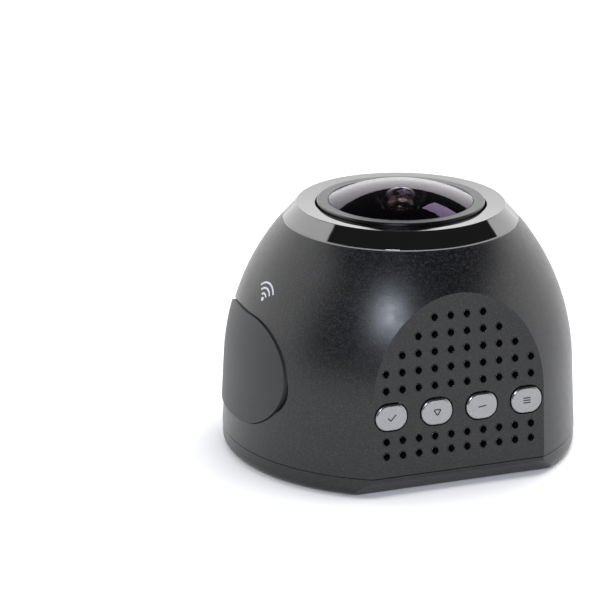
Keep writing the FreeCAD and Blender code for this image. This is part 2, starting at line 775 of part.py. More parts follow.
def lens_barrel():
    """Stepped barrel that carries all elements and screws into the holder."""
    head_r = BEZEL_R - BEZEL_SKIRT_T - GLASS_FIT
    seat_r = GLASS_FLANGE_R + GLASS_FIT
    top = LIP_Z - GLASS_FIT
    head_low = top - BARREL_HEAD_H
    rear_r = REAR_LENS_R + REAR_LENS_GAP
    return turned(
        (seat_r, top),
        (head_r, top),
        (head_r, head_low),
        (THREAD_R, head_low - CONE_H),
        (THREAD_R, BARREL_LOW_Z),
        (rear_r, BARREL_LOW_Z),
        (rear_r, SHOULDER_Z),
        (SHOULDER_R, SHOULDER_Z),
        (SHOULDER_R, SHOULDER_Z + SHOULDER_T),
        (SECOND_R + GLASS_FIT, SHOULDER_Z + SHOULDER_T),
        (SECOND_R + GLASS_FIT, SPACER_Z),
        (seat_r, SPACER_Z),
    )


def third_lens():
    """Third element, thicker in the middle, against the barrel's shoulder."""
    top = SHOULDER_Z - GLASS_FIT
    rim = 0.6
    middle_r, rise = cap_middle(REAR_LENS_R, 0.7)
    high = top - 0.8
    return turned(
        (0, high + 0.7 - rim - 1.4),
        (REAR_LENS_R, high - rim, middle_r, high - rim - rise),
        (REAR_LENS_R, high),
        (0, high + 0.7, middle_r, high + rise),
    )


def iris_stop():
    """Thin disc with the lens opening, behind the third element."""
    high = SHOULDER_Z - GLASS_FIT - 2.3
    return turned((0.9, high), (REAR_LENS_R, high), (REAR_LENS_R, high - 0.3), (1.2, high - 0.3))


def fourth_lens():
    """Cemented rear element."""
    high = SHOULDER_Z - GLASS_FIT - 3.6
    rim = 2.0
    middle_r, rise = cap_middle(REAR_LENS_R, 0.9)
    return turned(
        (0, high - rim - 0.9),
        (REAR_LENS_R, high - rim, middle_r, high - rim - rise),
        (REAR_LENS_R, high),
        (0, high + 0.9, middle_r, high + rise),
    )


def rear_lens_ring():
    """Threaded retainer at the back of the barrel."""
    high = SHOULDER_Z - GLASS_FIT - 3.6 - 2.0 - 1.0
    return turned((2.8, high), (REAR_LENS_R, high), (REAR_LENS_R, high - 1.0), (2.8, high - 1.0))


def holder_screw_points():
    """Places of the lens holder's screws."""
    return [(-9.9, 0), (9.9, 0)]


def lens_holder():
    """Moulded holder on the sensor board, with the barrel's thread and the filter's seat."""
    tube = rod(THREAD_R + 1.6, SENSOR_TOP_Z, SENSOR_TOP_Z + 8.5)
    flange = fused(rod(8.2, SENSOR_TOP_Z, SENSOR_TOP_Z + 2), tube)
    ears = rounded_slab(2 * 11.4, 4.4, 2.0, SENSOR_TOP_Z, SENSOR_TOP_Z + 1.6)
    holder = fused(flange, ears)
    tools = [
        block((-4.5, 4.5), (-4.5, 4.5), (SENSOR_TOP_Z - 1, SENSOR_TOP_Z + 1.2)),
        block((-3.6, 3.6), (-3.6, 3.6), (SENSOR_TOP_Z, SENSOR_TOP_Z + 2)),
        block((-4.15, 4.15), (-4.15, 4.15), (SENSOR_TOP_Z + 1.6, SENSOR_TOP_Z + 2.3)),
        rod(THREAD_R + GLASS_FIT, SENSOR_TOP_Z + 2.2, FAR),
    ]
    for x, y in holder_screw_points():
        tools.append(rod(SCREW_R + SCREW_FIT, SENSOR_TOP_Z - 1, FAR, x, y))
    return cut_all(holder, tools).removeSplitter()


def ir_filter():
    """Square infrared filter in the holder."""
    return block((-4.1, 4.1), (-4.1, 4.1), (SENSOR_TOP_Z + 1.6, SENSOR_TOP_Z + 2.1))


def image_sensor():
    """Sensor package with its shallow window recess."""
    package = block((-3.7, 3.7), (-3.1, 3.1), (SENSOR_TOP_Z, SENSOR_TOP_Z + 1.0))
    return package.cut(block((-2.9, 2.9), (-2.2, 2.2), (SENSOR_TOP_Z + 0.85, SENSOR_TOP_Z + 2)))


def holder_screws():
    """Two screws that hold the lens holder on its board."""
    one = screw(SCREW_R, SCREW_HEAD_R, SCREW_HEAD_T, 1.6 + BOARD_T, SCREW_HEAD_R * 0.7)
    level = SENSOR_TOP_Z + 1.6
    return Part.makeCompound([placed(one, Vector(x, y, level)) for x, y in holder_screw_points()])


# ---------------------------------------------------------------- boards

def spacer_points():
    """Places of the spacers between the two boards."""
    return [(sx * SPACER_X, sy * SPACER_Y) for sx in (-1, 1) for sy in (-1, 1)]


def sensor_board():
    """Round upper board with a tab that carries the inlet socket."""
    disc = rod(SENSOR_BOARD_R, SENSOR_BOARD_Z, SENSOR_TOP_Z)
    tab = block((usb_mouth_x() + 3.2, 0), (-5.0, 5.0), (SENSOR_BOARD_Z, SENSOR_TOP_Z))
    board = fused(disc, tab)
    points = spacer_points() + holder_screw_points()
    holes = [rod(SCREW_R + SCREW_FIT, SENSOR_BOARD_Z - 1, SENSOR_TOP_Z + 1, x, y) for x, y in points]
    return cut_all(board, holes)


def board_spacers():
    """Four spacers that carry the sensor board."""
    tapped = []
    for x, y in spacer_points():
        column = rod(SPACER_R, MAIN_TOP_Z, SENSOR_BOARD_Z, x, y)
        tapped.append(column.cut(rod(SCREW_R + SCREW_FIT, SENSOR_BOARD_Z - 2.2, SENSOR_TOP_Z, x, y)))
    return Part.makeCompound(tapped)


def sensor_board_screws():
    """Four screws into the spacers."""
    one = screw(SCREW_R, SCREW_HEAD_R, SCREW_HEAD_T, BOARD_T + 2.0, SCREW_HEAD_R * 0.7)
    return Part.makeCompound([placed(one, Vector(x, y, SENSOR_TOP_Z)) for x, y in spacer_points()])


def main_board():
    """Round lower board with a straight front edge."""
    board = rod(MAIN_BOARD_R, MAIN_BOARD_Z, MAIN_TOP_Z)
    front_y = PANEL_Y + BOARD_FRONT_INSET
    board = board.cut(block((-FAR, FAR), (-FAR, front_y), (0, FAR)))
    points = post_points()
    holes = [rod(SCREW_R + SCREW_FIT, MAIN_BOARD_Z - 1, MAIN_TOP_Z + 1, x, y) for x, y in points]
    return cut_all(board, holes)


def main_board_screws():
    """Four screws that hold the main board on its posts."""
    one = screw(SCREW_R, SCREW_HEAD_R, SCREW_HEAD_T, BOARD_T + 4, SCREW_HEAD_R * 0.7)
    return Part.makeCompound([placed(one, Vector(x, y, MAIN_TOP_Z)) for x, y in post_points()])


def processor():
    """Main chip."""
    return block((-3.5, 7.5), (-5.5, 5.5), (MAIN_TOP_Z, MAIN_TOP_Z + 1.2))


def heat_spreader():
    """Finned metal block on the main chip."""
    low = MAIN_TOP_Z + 1.2
    plate = block((-4.0, 8.0), (-6.0, 6.0), (low, SENSOR_BOARD_Z - 1.4))
    slots = [
        block((-5, 9), (-4.6 + index * 2.1, -3.7 + index * 2.1), (low + 1.0, FAR))
        for index in range(5)
    ]
    return cut_all(plate, slots)


def memory_chip():
    """Working memory beside the main chip."""
    return block((9.4, 16.4), (-4.0, 5.5), (MAIN_TOP_Z, MAIN_TOP_Z + 1.0))


def connector_lower():
    """Board-to-board connector, half on the main board."""
    split = (MAIN_TOP_Z + SENSOR_BOARD_Z) / 2
    body = block((-6, 6), (9.6, 12.6), (MAIN_TOP_Z, split))
    return body.cut(block((-5.3, 5.3), (10.6, 11.6), (split - 0.8, FAR)))


def connector_upper():
    """Board-to-board connector, half under the sensor board, with its tongue."""
    split = (MAIN_TOP_Z + SENSOR_BOARD_Z) / 2
    body = block((-6, 6), (9.6, 12.6), (split, SENSOR_BOARD_Z))
    return fused(body, block((-5.25, 5.25), (10.65, 11.55), (split - 0.7, split)))


def battery_range():
    """Half width and y range of the battery between the posts."""
    half = min(abs(x) for x, _ in post_points()) - POST_R - 0.5
    return half, -12.0, 12.0


def battery():
    """Flat cell under the main board."""
    half, low_y, high_y = battery_range()
    low = BASE_FLOOR_Z + 0.8
    cell = block((-half, half), (low_y, high_y), (low, low + 4.4))
    long_edges = [edge for edge in cell.Edges if abs(edge.tangentAt(edge.FirstParameter).y) > 0.99]
    return cell.makeFillet(1.6, long_edges)


def battery_pad():
    """Adhesive foam under the battery."""
    half, low_y, high_y = battery_range()
    return block((-half + 1.8, half - 1.8), (low_y + 1, high_y - 1), (BASE_FLOOR_Z, BASE_FLOOR_Z + 0.8))


def antenna():
    """Thin aerial stuck to the inside of the rear wall."""
    skin = envelope(-WALL - 0.02).cut(envelope(-WALL - 0.3))
    patch = block((-9, 9), (0, FAR), (15, 22))
    slot = block((-6, 9), (0, FAR), (18, 19))
    return skin.common(patch).cut(slot)


# ---------------------------------------------------------------- behind the flap

def usb_mouth_x():
    """X of the socket's mouth, level with the pocket floor."""
    return -body_r(USB_Z, -POCKET_DEPTH) + USB_SINK


def usb_socket():
    """Inlet socket: a folded shell with a tongue inside."""
    mouth = usb_mouth_x()
    half = USB_W / 2
    high = USB_H / 2
    shell = block((mouth, mouth + USB_L), (-half, half), (USB_Z - high, USB_Z + high))
    chamfer_edges = [
        edge for edge in shell.Edges
        if abs(edge.tangentAt(edge.FirstParameter).x) > 0.99 and edge.CenterOfMass.z > USB_Z
    ]
    shell = shell.makeChamfer(0.8, chamfer_edges)
    inside = block(
        (mouth - 1, mouth + USB_L - 0.8),
        (-half + 1.0, half - 1.0),
        (USB_Z - high + USB_SHELL, USB_Z + high - USB_SHELL),
    )
    wide = block(
        (mouth - 1, mouth + USB_L - 0.8),
        (-half + USB_SHELL, half - USB_SHELL),
        (USB_Z - high + USB_SHELL, USB_Z + 0.3),
    )
    tongue = block((mouth + 0.8, mouth + USB_L - 0.5), (-1.9, 1.9), (USB_Z - 0.1, USB_Z + 0.5))
    return fused(shell.cut(inside).cut(wide), tongue)


def card_end_x():
    """X of the card's outer end, a little inside the pocket floor."""
    return -body_r(CARD_Z, -POCKET_DEPTH) + CARD_SINK


def card_socket():
    """Push-push card socket on the main board."""
    front = card_end_x() + CARD_STAND_OUT
    back = card_end_x() + CARD_L + CARD_PUSH
    half = CARD_SOCKET_W / 2
    body = block((front, back + 0.6), (-half, half), (MAIN_TOP_Z, MAIN_TOP_Z + CARD_SOCKET_H))
    slot_half = CARD_W / 2 + CARD_FIT
    slot_high = CARD_T / 2 + CARD_FIT
    slot = block(
        (front - 1, back + 0.2),
        (-slot_half, slot_half),
        (CARD_Z - slot_high, CARD_Z + slot_high),
    )
    return body.cut(slot)


def memory_card():
    """Memory card with its stepped edge and grip ridge."""
    half = CARD_W / 2
    start = card_end_x()
    card = block((start, start + CARD_L), (-half, half), (CARD_Z - CARD_T / 2, CARD_Z + CARD_T / 2))
    step = block((start + 8.5, start + CARD_L + 1), (half - 1.3, FAR), (0, FAR))
    nick = block((start + 6.4, start + 7.8), (half - 0.7, FAR), (0, FAR))
    return card.cut(step).cut(nick)


def reset_switch():
    """Small switch on the main board, pressed through the pinhole."""
    half = RESET_SIZE / 2
    body = block(
        (RESET_BACK_X - RESET_SIZE, RESET_BACK_X),
        (RESET_Y - half, RESET_Y + half),
        (MAIN_TOP_Z, MAIN_TOP_Z + 2 * (RESET_Z - MAIN_TOP_Z)),
    )
    well = side_rod(RESET_ROD_R + PLUNGER_FIT, -FAR, RESET_BACK_X - 0.6, RESET_Y, RESET_Z)
    return body.cut(well)


def reset_rod():
    """Rod of the reset switch."""
    end = RESET_BACK_X - 0.6 - RESET_TRAVEL - 0.1
    return side_rod(RESET_ROD_R, end - RESET_ROD_L - 0.9, end, RESET_Y, RESET_Z)


def port_cover():
    """Curved flap with a knuckle at its rear edge, a little proud of the body."""
    shell = flap_prism(0).common(envelope(FLAP_PROUD).cut(envelope(FLAP_PROUD - FLAP_T)))
    shell = shell.cut(behind_hinge(0))
    half = FLAP_KNUCKLE_L / 2
    room = half + KNUCKLE_GAP + HOUSING_KNUCKLE_L + KNUCKLE_GAP
    clear_r = KNUCKLE_R + KNUCKLE_GAP
    shell = shell.cut(on_hinge(rod(clear_r, half, room)))
    shell = shell.cut(on_hinge(rod(clear_r, -room, -half)))
    shell = shell.fuse(on_hinge(rod(KNUCKLE_R, -half, half)))
    bore = on_hinge(rod(PIN_R + PIN_FIT, -FAR, FAR))
    return shell.cut(bore).removeSplitter()


def hinge_pin():
    """Steel pin through the flap's knuckle, held by the housing's knuckles."""
    half = FLAP_KNUCKLE_L / 2 + KNUCKLE_GAP + HOUSING_KNUCKLE_L - 0.3
    return on_hinge(rod(PIN_R, -half, half))


# ---------------------------------------------------------------- behind the panel

def switch_front_n():
    """Depth of the switches' front face behind the panel's surface."""
    return -WALL - FLANGE_GAP - FLANGE_T - SWITCH_GAP


def switch_back_n():
    """Depth of the button board's front face."""
    return switch_front_n() - SWITCH_T


def speaker_front_n():
    """Depth of the front of the speaker's basket."""
    return -WALL - MESH_T - GASKET_T


def speaker_back_n():
    """Depth of the back of the speaker's magnet."""
    return speaker_front_n() - BASKET_T - MAGNET_T


def button(index):
    """Metallic key cap with a rounded front edge and a flange behind the wall."""
    u = button_u(index)
    back = -WALL - FLANGE_GAP
    cap = rounded_slab(BUTTON_W, BUTTON_H, BUTTON_CORNER, back, BUTTON_PROUD, u, BUTTON_V)
    front = [edge for edge in cap.Edges if edge.BoundBox.ZMin > BUTTON_PROUD - 0.01]
    cap = cap.makeFillet(BUTTON_EDGE, front)
    width = BUTTON_W + 2 * FLANGE_MARGIN
    height = BUTTON_H + 2 * FLANGE_MARGIN
    flange = rounded_slab(width, height, BUTTON_CORNER, back - FLANGE_T, back, u, BUTTON_V)
    return on_panel(fused(cap, flange))


def switch_plunger(index):
    """Plunger of one switch, against the back of its key."""
    high = -WALL - FLANGE_GAP - FLANGE_T
    return on_panel(rod(PLUNGER_R, high - PLUNGER_L, high, button_u(index), BUTTON_V))


def tact_switches():
    """The four switch bodies, each with a well for its plunger."""
    bodies = []
    for index in range(BUTTON_COUNT):
        u = button_u(index)
        case = rounded_slab(SWITCH_W, SWITCH_H, 0.4, switch_back_n(), switch_front_n(), u, BUTTON_V)
        well = rod(PLUNGER_R + PLUNGER_FIT, switch_front_n() - 1.25, 1, u, BUTTON_V)
        bodies.append(on_panel(case.cut(well)))
    return Part.makeCompound(bodies)


def button_board():
    """Long narrow board behind the switches."""
    width = 2 * (BUTTON_SCREW_U + PANEL_BOSS_R)
    back = switch_back_n() - BUTTON_BOARD_T
    board = rounded_slab(width, BUTTON_BOARD_H, 0.8, back, switch_back_n(), 0, BUTTON_V)
    holes = [
        rod(SCREW_R + SCREW_FIT, back - 1, 0, side * BUTTON_SCREW_U, BUTTON_V) for side in (-1, 1)
    ]
    return on_panel(cut_all(board, holes)).common(envelope(-WALL - FIT))


def panel_screws(u, v, seat_n, length):
    """Pair of screws with their heads towards the inside of the body."""
    one = screw(SCREW_R, SCREW_HEAD_R, SCREW_HEAD_T, length, SCREW_HEAD_R * 0.7)
    flip = FreeCAD.Rotation(Vector(1, 0, 0), 180)
    pair = []
    for side in (-1, 1):
        flipped = placed(one, Vector(side * u, v, seat_n), flip)
        flipped.Placement = panel_frame().multiply(flipped.Placement)
        pair.append(flipped)
    return Part.makeCompound(pair)


def button_board_screws():
    """Two screws that hold the button board."""
    return panel_screws(BUTTON_SCREW_U, BUTTON_V, switch_back_n() - BUTTON_BOARD_T, BUTTON_BOARD_T + 2.0)


def mesh_sheet(v_range):
    """Thin cloth sheet against the back of the panel, between two heights on it."""
    sheet = on_panel(block((-FAR, FAR), v_range, (-WALL - MESH_T, -WALL)))
    sheet = sheet.common(envelope(-WALL))
    bosses = [
        on_panel(rod(PANEL_BOSS_R + FIT, -FAR, 0, side * SPEAKER_SCREW_U, SPEAKER_V)) for side in (-1, 1)
    ]
    return cut_all(sheet, bosses)


def upper_mesh():
    """Acoustic cloth behind the rows of holes above the buttons."""
    return mesh_sheet(MESH_HIGH_V)


def lower_mesh():
    """Acoustic cloth behind the two rows of holes below the buttons."""
    return mesh_sheet(MESH_LOW_V)


def speaker():
    """Round speaker: basket and magnet, with a dished cone at the front."""
    front = speaker_front_n()
    basket = rod(SPEAKER_R, front - BASKET_T, front, 0, SPEAKER_V)
    magnet = rod(MAGNET_R, speaker_back_n(), front - BASKET_T, 0, SPEAKER_V)
    dish = Part.makeCone(1.6, SPEAKER_R - 1.0, 0.9, Vector(0, SPEAKER_V, front - 0.9))
    return on_panel(fused(basket, magnet).cut(dish))


def speaker_gasket():
    """Foam ring between the speaker and the panel."""
    outer = rod(SPEAKER_R, speaker_front_n(), -WALL - MESH_T, 0, SPEAKER_V)
    return on_panel(outer.cut(rod(SPEAKER_R - GASKET_W, speaker_front_n(), -WALL - MESH_T, 0, SPEAKER_V)))


def speaker_clamp():
    """Bar across the back of the speaker."""
    back = speaker_back_n() - CLAMP_T
    width = 2 * (SPEAKER_SCREW_U + PANEL_BOSS_R)
    bar = rounded_slab(width, CLAMP_H, 1.5, back, speaker_back_n(), 0, SPEAKER_V)
    holes = [
        rod(SCREW_R + SCREW_FIT, back - 1, 0, side * SPEAKER_SCREW_U, SPEAKER_V) for side in (-1, 1)
    ]
    return on_panel(cut_all(bar, holes))


def speaker_screws():
    """Two screws that hold the speaker clamp."""
    return panel_screws(SPEAKER_SCREW_U, SPEAKER_V, speaker_back_n() - CLAMP_T, CLAMP_T + 2.4)


def microphone():
    """Microphone capsule behind the lower rows of holes."""
    return on_panel(rod(MIC_R, -WALL - MESH_T - MIC_T, -WALL - MESH_T, MIC_U, MIC_V))


# ---------------------------------------------------------------- writing the parts

SINGLE_PARTS = (
    dome_housing, base_plate, foot_pad, base_screws,
    trim_ring, ring_screws, lens_bezel, front_lens, lens_spacer, lens_seal, second_lens,
    lens_barrel, third_lens, iris_stop, fourth_lens, rear_lens_ring,
    lens_holder, holder_screws, ir_filter, image_sensor,
    sensor_board, sensor_board_screws, board_spacers, main_board, main_board_screws,
    processor, heat_spreader, memory_chip, connector_lower, connector_upper,
    battery, battery_pad, antenna,
    usb_socket, card_socket, memory_card, reset_switch, reset_rod, port_cover, hinge_pin,
    tact_switches, button_board, button_board_screws,
    upper_mesh, lower_mesh, speaker, speaker_gasket, speaker_clamp, speaker_screws, microphone,
)


def export(name, shape):
    """Write one node, refusing a shape that is not made of sound solids."""
    solids = shape.Solids
    if not solids or not all(solid.isValid() for solid in solids):
        raise ValueError("unsound shape: " + name)
    whole = solids[0] if len(solids) == 1 else Part.makeCompound(solids)
    whole.exportStep("parts/" + name + ".step")


def main():
    """Build every part and write it."""
    os.makedirs("parts", exist_ok=True)
    for make in SINGLE_PARTS:
        export(make.__name__, make())
    for index in range(BUTTON_COUNT):
        export("button_" + str(index + 1), button(index))
        export("switch_plunger_" + str(index + 1), switch_plunger(index))


if __name__ == "__main__":
    main()
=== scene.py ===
import json
import math

import bmesh
import bpy
from mathutils import Euler, Matrix, Vector
from mathutils.bvhtree import BVHTree


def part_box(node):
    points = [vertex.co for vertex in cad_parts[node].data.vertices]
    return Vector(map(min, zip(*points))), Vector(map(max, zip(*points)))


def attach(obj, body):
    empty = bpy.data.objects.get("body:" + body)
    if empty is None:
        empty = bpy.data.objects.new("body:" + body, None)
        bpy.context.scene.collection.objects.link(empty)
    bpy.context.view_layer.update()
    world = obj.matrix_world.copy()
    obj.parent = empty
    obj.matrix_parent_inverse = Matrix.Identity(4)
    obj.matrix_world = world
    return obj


bl_info = {
    "name": "Dash camera finishes",
    "version": (1, 0, 0),
    "blender": (4, 5, 0),
    "location": "3D View > Sidebar > Dash camera",
    "description": "Finishes, printed marks and a studio stage for a small dome-shaped dash camera",
    "category": "Object",
}

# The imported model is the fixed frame. All lengths below are in metres unless a name ends in _mm.
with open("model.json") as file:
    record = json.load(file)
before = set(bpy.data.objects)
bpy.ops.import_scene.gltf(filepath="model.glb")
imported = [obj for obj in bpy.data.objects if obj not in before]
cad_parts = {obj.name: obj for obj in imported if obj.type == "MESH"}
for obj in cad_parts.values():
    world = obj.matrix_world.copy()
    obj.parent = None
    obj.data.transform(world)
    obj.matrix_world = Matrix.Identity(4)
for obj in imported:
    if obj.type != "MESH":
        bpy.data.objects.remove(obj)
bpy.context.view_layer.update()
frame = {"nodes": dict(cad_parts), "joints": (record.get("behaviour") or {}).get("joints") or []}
NODES = frame["nodes"]
JOINTS = {joint["name"]: joint for joint in frame["joints"]}
MM = 0.001
BUTTONS = ("button_1", "button_2", "button_3", "button_4")
WELL_CLEAR = 30 * MM  # Rays towards the panel start this far in front of it.


# ---------------------------------------------------------------- colours and nodes

def linear(hex_code):
    """Scene-linear RGBA of an sRGB hex colour."""
    values = [int(hex_code[i:i + 2], 16) / 255 for i in (1, 3, 5)]
    return [v / 12.92 if v <= 0.04045 else ((v + 0.055) / 1.055) ** 2.4 for v in values] + [1.0]


def add_node(tree, kind, inputs=None, **settings):
    """Add a node, set its properties, and set or link its inputs."""
    node = tree.nodes.new(kind)
    for name, value in settings.items():
        setattr(node, name, value)
    for socket, value in (inputs or {}).items():
        if isinstance(value, bpy.types.NodeSocket):
            tree.links.new(value, node.inputs[socket])
        else:
            node.inputs[socket].default_value = value
    return node


def per_mm(size_mm):
    """Texture scale that makes one feature of a texture this many millimetres wide."""
    return 1 / (size_mm * MM)


class Finish:
    """A material being built: its tree, its shader and the object coordinates that its patterns follow."""

    def __init__(self, name, **shader_values):
        self.material = bpy.data.materials.new(name)
        self.material.use_nodes = True
        self.tree = self.material.node_tree
        self.tree.nodes.clear()
        values = {key.replace("_", " "): value for key, value in shader_values.items()}
        self.shader = add_node(self.tree, "ShaderNodeBsdfPrincipled", values)
        add_node(self.tree, "ShaderNodeOutputMaterial", {"Surface": self.shader.outputs[0]})
        self.place = add_node(self.tree, "ShaderNodeTexCoord").outputs["Object"]

    def add(self, kind, inputs=None, **settings):
        """Add a node to this material."""
        return add_node(self.tree, kind, inputs, **settings)

    def noise(self, size_mm, detail=2.0, stretch=None):
        """Noise with features of about size_mm, drawn out along the axes by stretch."""
        place = self.place
        if stretch:
            place = self.add("ShaderNodeMapping", {"Vector": place, "Scale": stretch}).outputs[0]
        inputs = {"Vector": place, "Scale": per_mm(size_mm), "Detail": detail}
        return self.add("ShaderNodeTexNoise", inputs).outputs[0]

    def rings(self, pitch_mm):
        """Concentric lines about the object's Z axis, pitch_mm apart."""
        inputs = {"Vector": self.place, "Scale": math.tau / 20 * per_mm(pitch_mm)}
        node = self.add("ShaderNodeTexWave", inputs, wave_type="RINGS", rings_direction="Z")
        return node.outputs[1]

    def ramp(self, value, *, at, to):
        """The value mapped from the range at to the range to, clamped."""
        inputs = {"Value": value, 1: at[0], 2: at[1], 3: to[0], 4: to[1]}
        return self.add("ShaderNodeMapRange", inputs).outputs[0]

    def mix(self, factor, first, second):
        """Colour between two hex colours or sockets."""
        colours = [linear(c) if isinstance(c, str) else c for c in (first, second)]
        inputs = {"Factor": factor, "A": colours[0], "B": colours[1]}
        node = self.add("ShaderNodeMix", data_type="RGBA")
        sockets = {"Factor": node.inputs[0], "A": node.inputs[6], "B": node.inputs[7]}
        for name, value in inputs.items():
            if isinstance(value, bpy.types.NodeSocket):
                self.tree.links.new(value, sockets[name])
            else:
                sockets[name].default_value = value
        return node.outputs[2]

    def bump(self, height, depth_mm, strength=1.0, below=None):
        """Normal for a height pattern that is depth_mm deep."""
        inputs = {"Height": height, "Distance": depth_mm * MM, "Strength": strength}
        if below is not None:
            inputs["Normal"] = below
        return self.add("ShaderNodeBump", inputs).outputs[0]

    def wire(self, **sockets):
        """Link outputs to the shader's inputs, named with underscores for spaces."""
        for name, value in sockets.items():
            self.tree.links.new(value, self.shader.inputs[name.replace("_", " ")])
        return self.material


# ---------------------------------------------------------------- finishes

def moulded_abs_flake(colour, fleck_colour):
    """Moulded ABS sprayed with a satin black paint that holds fine metal flakes, so it glitters a little."""
    f = Finish("abs_satin_black_flake_paint", IOR=1.5)
    # Real flakes are about 0.03 mm wide. They are drawn 0.15 mm wide so that they still show.
    flakes = f.add("ShaderNodeTexVoronoi", {"Vector": f.place, "Scale": per_mm(0.15)})
    lot = f.add("ShaderNodeSeparateColor", {"Color": flakes.outputs["Color"]}).outputs[0]
    fleck = f.ramp(lot, at=(0.55, 1.0), to=(0.0, 0.07))
    paint = f.mix(f.noise(7.0), colour, [c * 1.15 for c in colour[:3]] + [1.0])
    orange_peel = f.bump(f.noise(0.22, 2.0), 0.004)
    return f.wire(
        Base_Color=f.mix(fleck, paint, fleck_colour),
        Metallic=f.ramp(fleck, at=(0.0, 0.07), to=(0.0, 0.2)),
        Roughness=f.ramp(f.noise(1.2), at=(0.3, 0.7), to=(0.30, 0.35)),
        Normal=orange_peel,
    )


def polished_edge(colour):
    """The same paint on a moulded lip, where it has run thin and glossy; its colour is also painted up to
    twice as light as the shell's, a painted glint.
    """
    f = Finish("abs_black_paint_glossy_lip_painted_glint", IOR=1.5)
    flow_and_glint = f.noise(0.3)
    return f.wire(
        # Painted glint: in patches the lip's colour is lightened to twice the shell's paint.
        Base_Color=f.mix(flow_and_glint, colour, [c * 2 for c in colour[:3]] + [1.0]),
        Roughness=f.ramp(flow_and_glint, at=(0.3, 0.7), to=(0.12, 0.2)),
        Normal=f.bump(flow_and_glint, 0.003),
    )


def moulded_abs_matte(colour):
    """Moulded ABS with a fine spark-eroded grain, as the mould leaves it: dull and even."""
    f = Finish("abs_moulded_fine_grain", IOR=1.5)
    grain = f.noise(0.16, 3.0)
    return f.wire(
        Base_Color=f.mix(f.noise(5.0), colour, [c * 1.3 for c in colour[:3]] + [1.0]),
        Roughness=f.ramp(grain, at=(0.3, 0.7), to=(0.46, 0.56)),
        Normal=f.bump(grain, 0.010),
    )


def black_chrome(colour):
    """Black chromium plated on a moulded ring: a dark mirror with the faintest haze."""
    f = Finish("black_chrome_plate", Metallic=1.0)
    haze = f.noise(2.5, 4.0)
    return f.wire(
        Base_Color=f.mix(haze, colour, [c * 1.12 for c in colour[:3]] + [1.0]),
        Roughness=f.ramp(haze, at=(0.3, 0.7), to=(0.02, 0.045)),
        Normal=f.bump(f.noise(3.0), 0.0008),
    )


def anodised_turned(name, dark, light, pitch_mm, roughness):
    """Turned aluminium, bead blasted and anodised: satin, with the lathe's fine rings just visible."""
    f = Finish(name, Metallic=1.0)
    lines = f.rings(pitch_mm)
    blast = f.noise(0.15)
    return f.wire(
        Base_Color=f.mix(f.noise(1.5), dark, light),
        Roughness=f.ramp(blast, at=(0.3, 0.7), to=(roughness - 0.04, roughness + 0.05)),
        Normal=f.bump(lines, 0.002, below=f.bump(blast, 0.002)),
    )


def coated_glass(name, tint, sheen):
    """Optical glass, ground and polished, whose anti-reflection film tints what it still reflects."""
    f = Finish(name, IOR=1.52, Transmission_Weight=1.0, Specular_IOR_Level=0.3, Specular_Tint=linear(sheen))
    polish = f.noise(4.0)
    return f.wire(
        Base_Color=f.mix(polish, tint, [min(1.0, c * 1.02) for c in linear(tint)[:3]] + [1.0]),
        Roughness=f.ramp(polish, at=(0.3, 0.7), to=(0.0, 0.002)),
    )


def moulded_plain(name, dark, light, grain_mm, roughness):
    """Moulded engineering plastic with a mould grain: even, dull and slightly mottled."""
    f = Finish(name, IOR=1.53)
    grain = f.noise(grain_mm, 3.0)
    return f.wire(
        Base_Color=f.mix(f.noise(3.0), dark, light),
        Roughness=f.ramp(grain, at=(0.3, 0.7), to=(roughness - 0.05, roughness + 0.05)),
        Normal=f.bump(grain, 0.012),
    )


def moulded_rubber():
    """Moulded silicone rubber: soft black with a bloom of mould dust."""
    f = Finish("silicone_moulded_black", IOR=1.43)
    bloom = f.noise(0.8, 4.0)
    return f.wire(
        Base_Color=f.mix(bloom, "#161616", "#262626"),
        Roughness=f.ramp(bloom, at=(0.3, 0.7), to=(0.55, 0.75)),
        Normal=f.bump(f.noise(0.2), 0.01),
    )


def closed_cell_foam():
    """Cut closed-cell foam: each open pore a third of a millimetre wide, no gloss; every pore is painted
    darker towards its middle, painted shade in its pit.
    """
    f = Finish("polyurethane_foam_cut", IOR=1.45)
    pore_pits_and_shade = f.add("ShaderNodeTexVoronoi", {"Vector": f.place, "Scale": per_mm(0.35)}).outputs["Distance"]
    return f.wire(
        # Painted shade: the colour is darkest in the middle of each pore, where the bump sinks deepest.
        Base_Color=f.mix(f.ramp(pore_pits_and_shade, at=(0.1, 0.7), to=(0.0, 1.0)), "#101011", "#343436"),
        Roughness=f.ramp(pore_pits_and_shade, at=(0.1, 0.7), to=(0.95, 0.8)),
        Normal=f.bump(pore_pits_and_shade, 0.08),
    )


def woven_polyester():
    """Acoustic cloth woven from 0.1 mm black polyester thread, painted darker in the gaps between the
    threads as painted shade.
    """
    f = Finish("polyester_acoustic_cloth", IOR=1.55)
    pitch = math.tau / 20 * per_mm(0.2)
    waves = {"Vector": f.place, "Scale": pitch}
    warp = f.add("ShaderNodeTexWave", waves, bands_direction="X").outputs[1]
    weft = f.add("ShaderNodeTexWave", waves, bands_direction="Z").outputs[1]
    weave_and_shade = f.add("ShaderNodeMath", {0: warp, 1: weft}, operation="MULTIPLY").outputs[0]
    return f.wire(
        # Painted shade: the colour is darker where the weave's bump is low, between the threads.
        Base_Color=f.mix(weave_and_shade, "#060606", "#1c1c1d"),
        Roughness=f.ramp(weave_and_shade, at=(0.0, 1.0), to=(0.95, 0.7)),
        Normal=f.bump(weave_and_shade, 0.05),
    )


